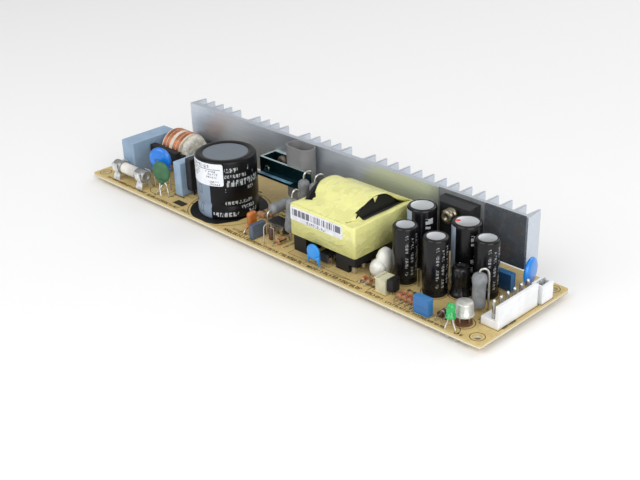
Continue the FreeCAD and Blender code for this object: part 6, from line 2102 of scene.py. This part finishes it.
    def metal_can(self) -> None:
        """Turn the small metal can with its brim, standing on three leads over a round spacer."""
        low, high = BENCH.box("metal_can_transistor")
        x, y = (low.x + high.x) / 2, (low.y + high.y) / 2
        brim = (high.x - low.x) / 2
        profile = [(0, 3.3), (brim - 0.1, 3.3), (brim, 3.4), (brim, 3.65), (brim - 0.1, 3.78),
                   (3.12, 3.85),
                   (3.06, 7.6), (2.8, 8.15), (2.4, 8.3), (0, 8.3)]
        form = turned(profile, (x, y, 0.0), steps=48)
        nickel = Finish("can_nickel", (0.58, 0.58, 0.54), roughness=0.38, metallic=0.55, mottle=0.1,
                        patch=2.0)
        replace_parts(BENCH.piece("metal_can", form, nickel, "can_nickel", smooth=True),
                    "metal_can_transistor")
        leads = bmesh.new()
        for angle in (-100, 20, 140):
            turn = math.radians(angle)
            px, py = x + 1.8 * math.cos(turn), y + 1.8 * math.sin(turn)
            gather(leads, wire([(px, py, 0.0), (px, py, 1.6), (px, py, 3.4)], 0.3))
        BENCH.leads("metal_can_leads", leads)
        BENCH.dress("transistor_spacer", Finish("spacer_board", (0.16, 0.07, 0.035), roughness=0.5))

    def disc(self) -> None:
        """Dip the blue disc by the heat sink's right end."""
        low, high = BENCH.box("output_disc_capacitor")
        x, y = (low.x + high.x) / 2, (low.y + high.y) / 2
        form = coated_disc((x, y, 8.1), 5.15, 2.4, 104.0)
        leads = bmesh.new()
        for side in (-1, 1):
            px, py = x - side * 0.6, y + side * 2.42
            gather(form, drip((px, py, 4.4), (px, py, 2.4), 1.0, 0.4))
            gather(leads, wire([(px, py, 3.2), (px, py, 1.5), (px, py, 0.0)], 0.3))
        blue = Finish("disc_coating", (0.006, 0.22, 0.72), roughness=0.32, coat=0.4, mottle=0.06,
                      grain=1.2, depth=0.06)
        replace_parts(BENCH.piece("output_disc", form, blue, "coating_blue", smooth=True),
                    "output_disc_capacitor")
        BENCH.leads("output_disc_leads", leads)


@dataclass
class Connectors:
    """Output and auxiliary headers with their pins."""

    pin_count: int = 6
    pin_pitch: float = 3.76
    pin_inset: float = 3.95
    pin_start: float = 1.7
    nylon: Finish = Finish("header_nylon", (0.80, 0.81, 0.82), roughness=0.35, mottle=0.04,
                           coat=0.15)

    def dress(self) -> None:
        """Shape and finish the headers."""
        low, high = BENCH.box("output_header")
        form = rounded_block((low.x, low.y + 0.03, 0.0), (high.x - 0.3, high.y - 0.03, 2.8), 0.2, 2)
        gather(form, rounded_block((high.x - 1.45, low.y, 0.0), (high.x, high.y, high.z), 0.2, 2))
        pitch = (high.y - low.y) / self.pin_count
        for i in range(self.pin_count):
            y = low.y + pitch * (i + 0.5)
            gather(form, rounded_block((high.x - 1.6, y - pitch * 0.3, 2.6),
                                       (high.x - 1.35, y + pitch * 0.3, high.z - 1.2), 0.1, 1))
        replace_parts(BENCH.piece("header_body", form, self.nylon, "header_nylon"), "output_header")
        BENCH.dress("auxiliary_header", self.nylon)
        self.pins(low)

    def pins(self, low: Vector) -> None:
        """Turn the fat output pins with rounded tops and set the two square auxiliary ones."""
        form = bmesh.new()
        outline = [(0, 0), (0.65, 0), (0.65, 9.1), (0.55, 9.5), (0.3, 9.75), (0, 9.8)]
        for i in range(self.pin_count):
            foot = (low.x + self.pin_inset, low.y + self.pin_start + self.pin_pitch * i, 0.0)
            gather(form, turned(outline, foot, steps=20))
        aux_low, aux_high = BENCH.box("auxiliary_header")
        x = (aux_low.x + aux_high.x) / 2
        for side in (-1, 1):
            y = (aux_low.y + aux_high.y) / 2 + side * 1.25
            gather(form, rounded_block((x - 0.32, y - 0.32, 0.0), (x + 0.32, y + 0.32, 7.9), 0.12,
                                       2))
        bright = Finish("pin_tin", (0.60, 0.60, 0.58), roughness=0.24, metallic=1.0, mottle=0.12,
                        patch=1.5)
        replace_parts(BENCH.piece("header_pin_set", form, bright, "tinned_metal", smooth=True),
                    "header_pins")


@dataclass(frozen=True)
class MirrorFilm(Finish):
    """Glossy black film with painted soft brownish reflections of what stands before it."""

    def paint(self, shader: Shader) -> None:
        """Fill the surface shader."""
        painted_reflection = shader.noise(6.0, (1, 1, 1.6), detail=1.0).ease(0.5, 0.72)
        haze = shader.noise(3.0).ease(0.4, 0.8)
        colour = shader.blend(painted_reflection * 0.55, self.colour, (0.10, 0.075, 0.06))
        shader.set("Base Color", shader.blend(haze * 0.3, colour, (0.13, 0.14, 0.155)))
        shader.set("Roughness", self.roughness + haze * 0.12)
        shader.raise_by(shader.noise(7.0), 0.25)


@dataclass
class RectifierGroup:
    """Output rectifier on its pad, and the black sheet beside it."""

    def dress(self) -> None:
        """Shape and finish the group."""
        BENCH.dress("rectifier_pad", Finish("silicone_pad", (0.17, 0.175, 0.18), roughness=0.55))
        BENCH.dress("insulating_sheet",
                    MirrorFilm("black_sheet", (0.07, 0.078, 0.088), roughness=0.24, coat=0.2))
        BENCH.dress("output_rectifier", BLACK_MOULDING)
        low, high = BENCH.box("rectifier_screw")
        x, z = (low.x + high.x) / 2, (low.z + high.z) / 2
        reach = (high.x - low.x) / 2
        head = 5.0
        profile = [(0, 0.7), (0.7, 0.55), (1.0, 0.1), (reach - 0.9, 0.0), (reach - 0.3, 0.3),
                   (reach, 0.9),
                   (reach, 1.7), (reach - 0.4, 2.0), (reach - 0.4, 2.4), (reach, 2.7),
                   (reach, head - 1.4),
                   (reach - 0.5, head - 1.2), (reach - 0.5, head), (1.4, head),
                   (1.4, high.y - low.y), (0, high.y - low.y)]
        form = turned(profile, (x, low.y, z), Axis.Y, steps=32)
        brass = Finish("screw_brass", (0.30, 0.27, 0.20), roughness=0.34, metallic=1.0, mottle=0.2,
                       patch=1.5)
        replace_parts(BENCH.piece("rectifier_screw_turned", form, brass, "screw_steel", smooth=True),
                    "rectifier_screw")


@dataclass
class Studio:
    """Camera, pale floor and soft light."""

    eye: Point = (387.04, -236.2, 184.35)
    ahead: Point = (-0.6414, 0.6243, -0.4459)
    above: Point = (-0.2974, 0.3333, 0.8947)
    lens: float = 59.8
    board_thick: float = 1.6
    world: float = 0.54
    lamps: tuple[tuple[str, Point, float, float], ...] = (
        ("key", (-0.15, -0.8, 0.68), 0.8, 4.6), ("fill", (0.8, -0.35, 0.45), 0.7, 4.8),
        ("back", (0.1, 0.8, 0.7), 0.7, 2.4))

    def build(self) -> None:
        """Set up the camera, floor and lights."""
        self.camera()
        self.floor()
        for name, spot, size, power in self.lamps:
            self.lamp(name, spot, size, power)
        world = bpy.data.worlds.new("studio")
        bpy.context.scene.world = world
        world.use_nodes = True
        world.node_tree.nodes["Background"].inputs["Color"].default_value = (1.0, 1.0, 1.0, 1.0)
        world.node_tree.nodes["Background"].inputs["Strength"].default_value = self.world
        bpy.context.scene.view_settings.view_transform = "Standard"

    def camera(self) -> None:
        """Place the camera where the photograph was taken."""
        data = bpy.data.cameras.new("camera")
        data.lens = self.lens
        data.clip_start = 0.01
        camera = bpy.data.objects.new("camera", data)
        bpy.context.scene.collection.objects.link(camera)
        ahead = Vector(self.ahead).normalized()
        above = (Vector(self.above) - ahead * Vector(self.above).dot(ahead)).normalized()
        right = ahead.cross(above)
        turn = Matrix((right, above, -ahead)).transposed()
        spot = BENCH.row(self.eye[0], self.eye[1], self.eye[2] - self.board_thick)
        camera.matrix_world = Matrix.Translation(spot) @ turn.to_4x4()
        bpy.context.scene.camera = camera

    def floor(self) -> None:
        """Lay a plain pale floor."""
        form = bmesh.new()
        bmesh.ops.create_grid(form, x_segments=1, y_segments=1, size=4.0)
        mesh = bpy.data.meshes.new("floor")
        form.to_mesh(mesh)
        form.free()
        floor = bpy.data.objects.new("floor", mesh)
        bpy.context.scene.collection.objects.link(floor)
        paint = bpy.data.materials.new("floor")
        paint.use_nodes = True
        paint.node_tree.nodes["Principled BSDF"].inputs["Base Color"].default_value = (0.9, 0.9,
                                                                                       0.9, 1.0)
        paint.node_tree.nodes["Principled BSDF"].inputs["Roughness"].default_value = 0.9
        mesh.materials.append(paint)

    def lamp(self, name: str, spot: Point, size: float, power: float) -> None:
        """Hang a soft square lamp that faces the supply.

        Args:
            name: Name of the lamp.
            spot: Where it hangs, in metres.
            size: Width of its face.
            power: Its power in watts.
        """
        data = bpy.data.lights.new(name, "AREA")
        data.size = size
        data.energy = power
        lamp = bpy.data.objects.new(name, data)
        bpy.context.scene.collection.objects.link(lamp)
        lamp.location = spot
        lamp.rotation_euler = (-Vector(spot)).to_track_quat("-Z", "Y").to_euler()


def main() -> None:
    """Dress the frame group by group."""
    logging.basicConfig(level=logging.INFO, format="%(message)s")
    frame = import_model()
    BENCH.settle(frame["nodes"])
    groups = (Board(), Sink(), InputFilter(), BulkStore(), SwitchGroup(), ControlGroup(),
              TransformerGroup(), BarrierGroup(), OutputGroup(), Connectors(), RectifierGroup())
    for group in groups:
        group.dress()
        LOG.info("dressed %s", type(group).__name__)
    Studio().build()


if __name__ == "__main__":
    main()
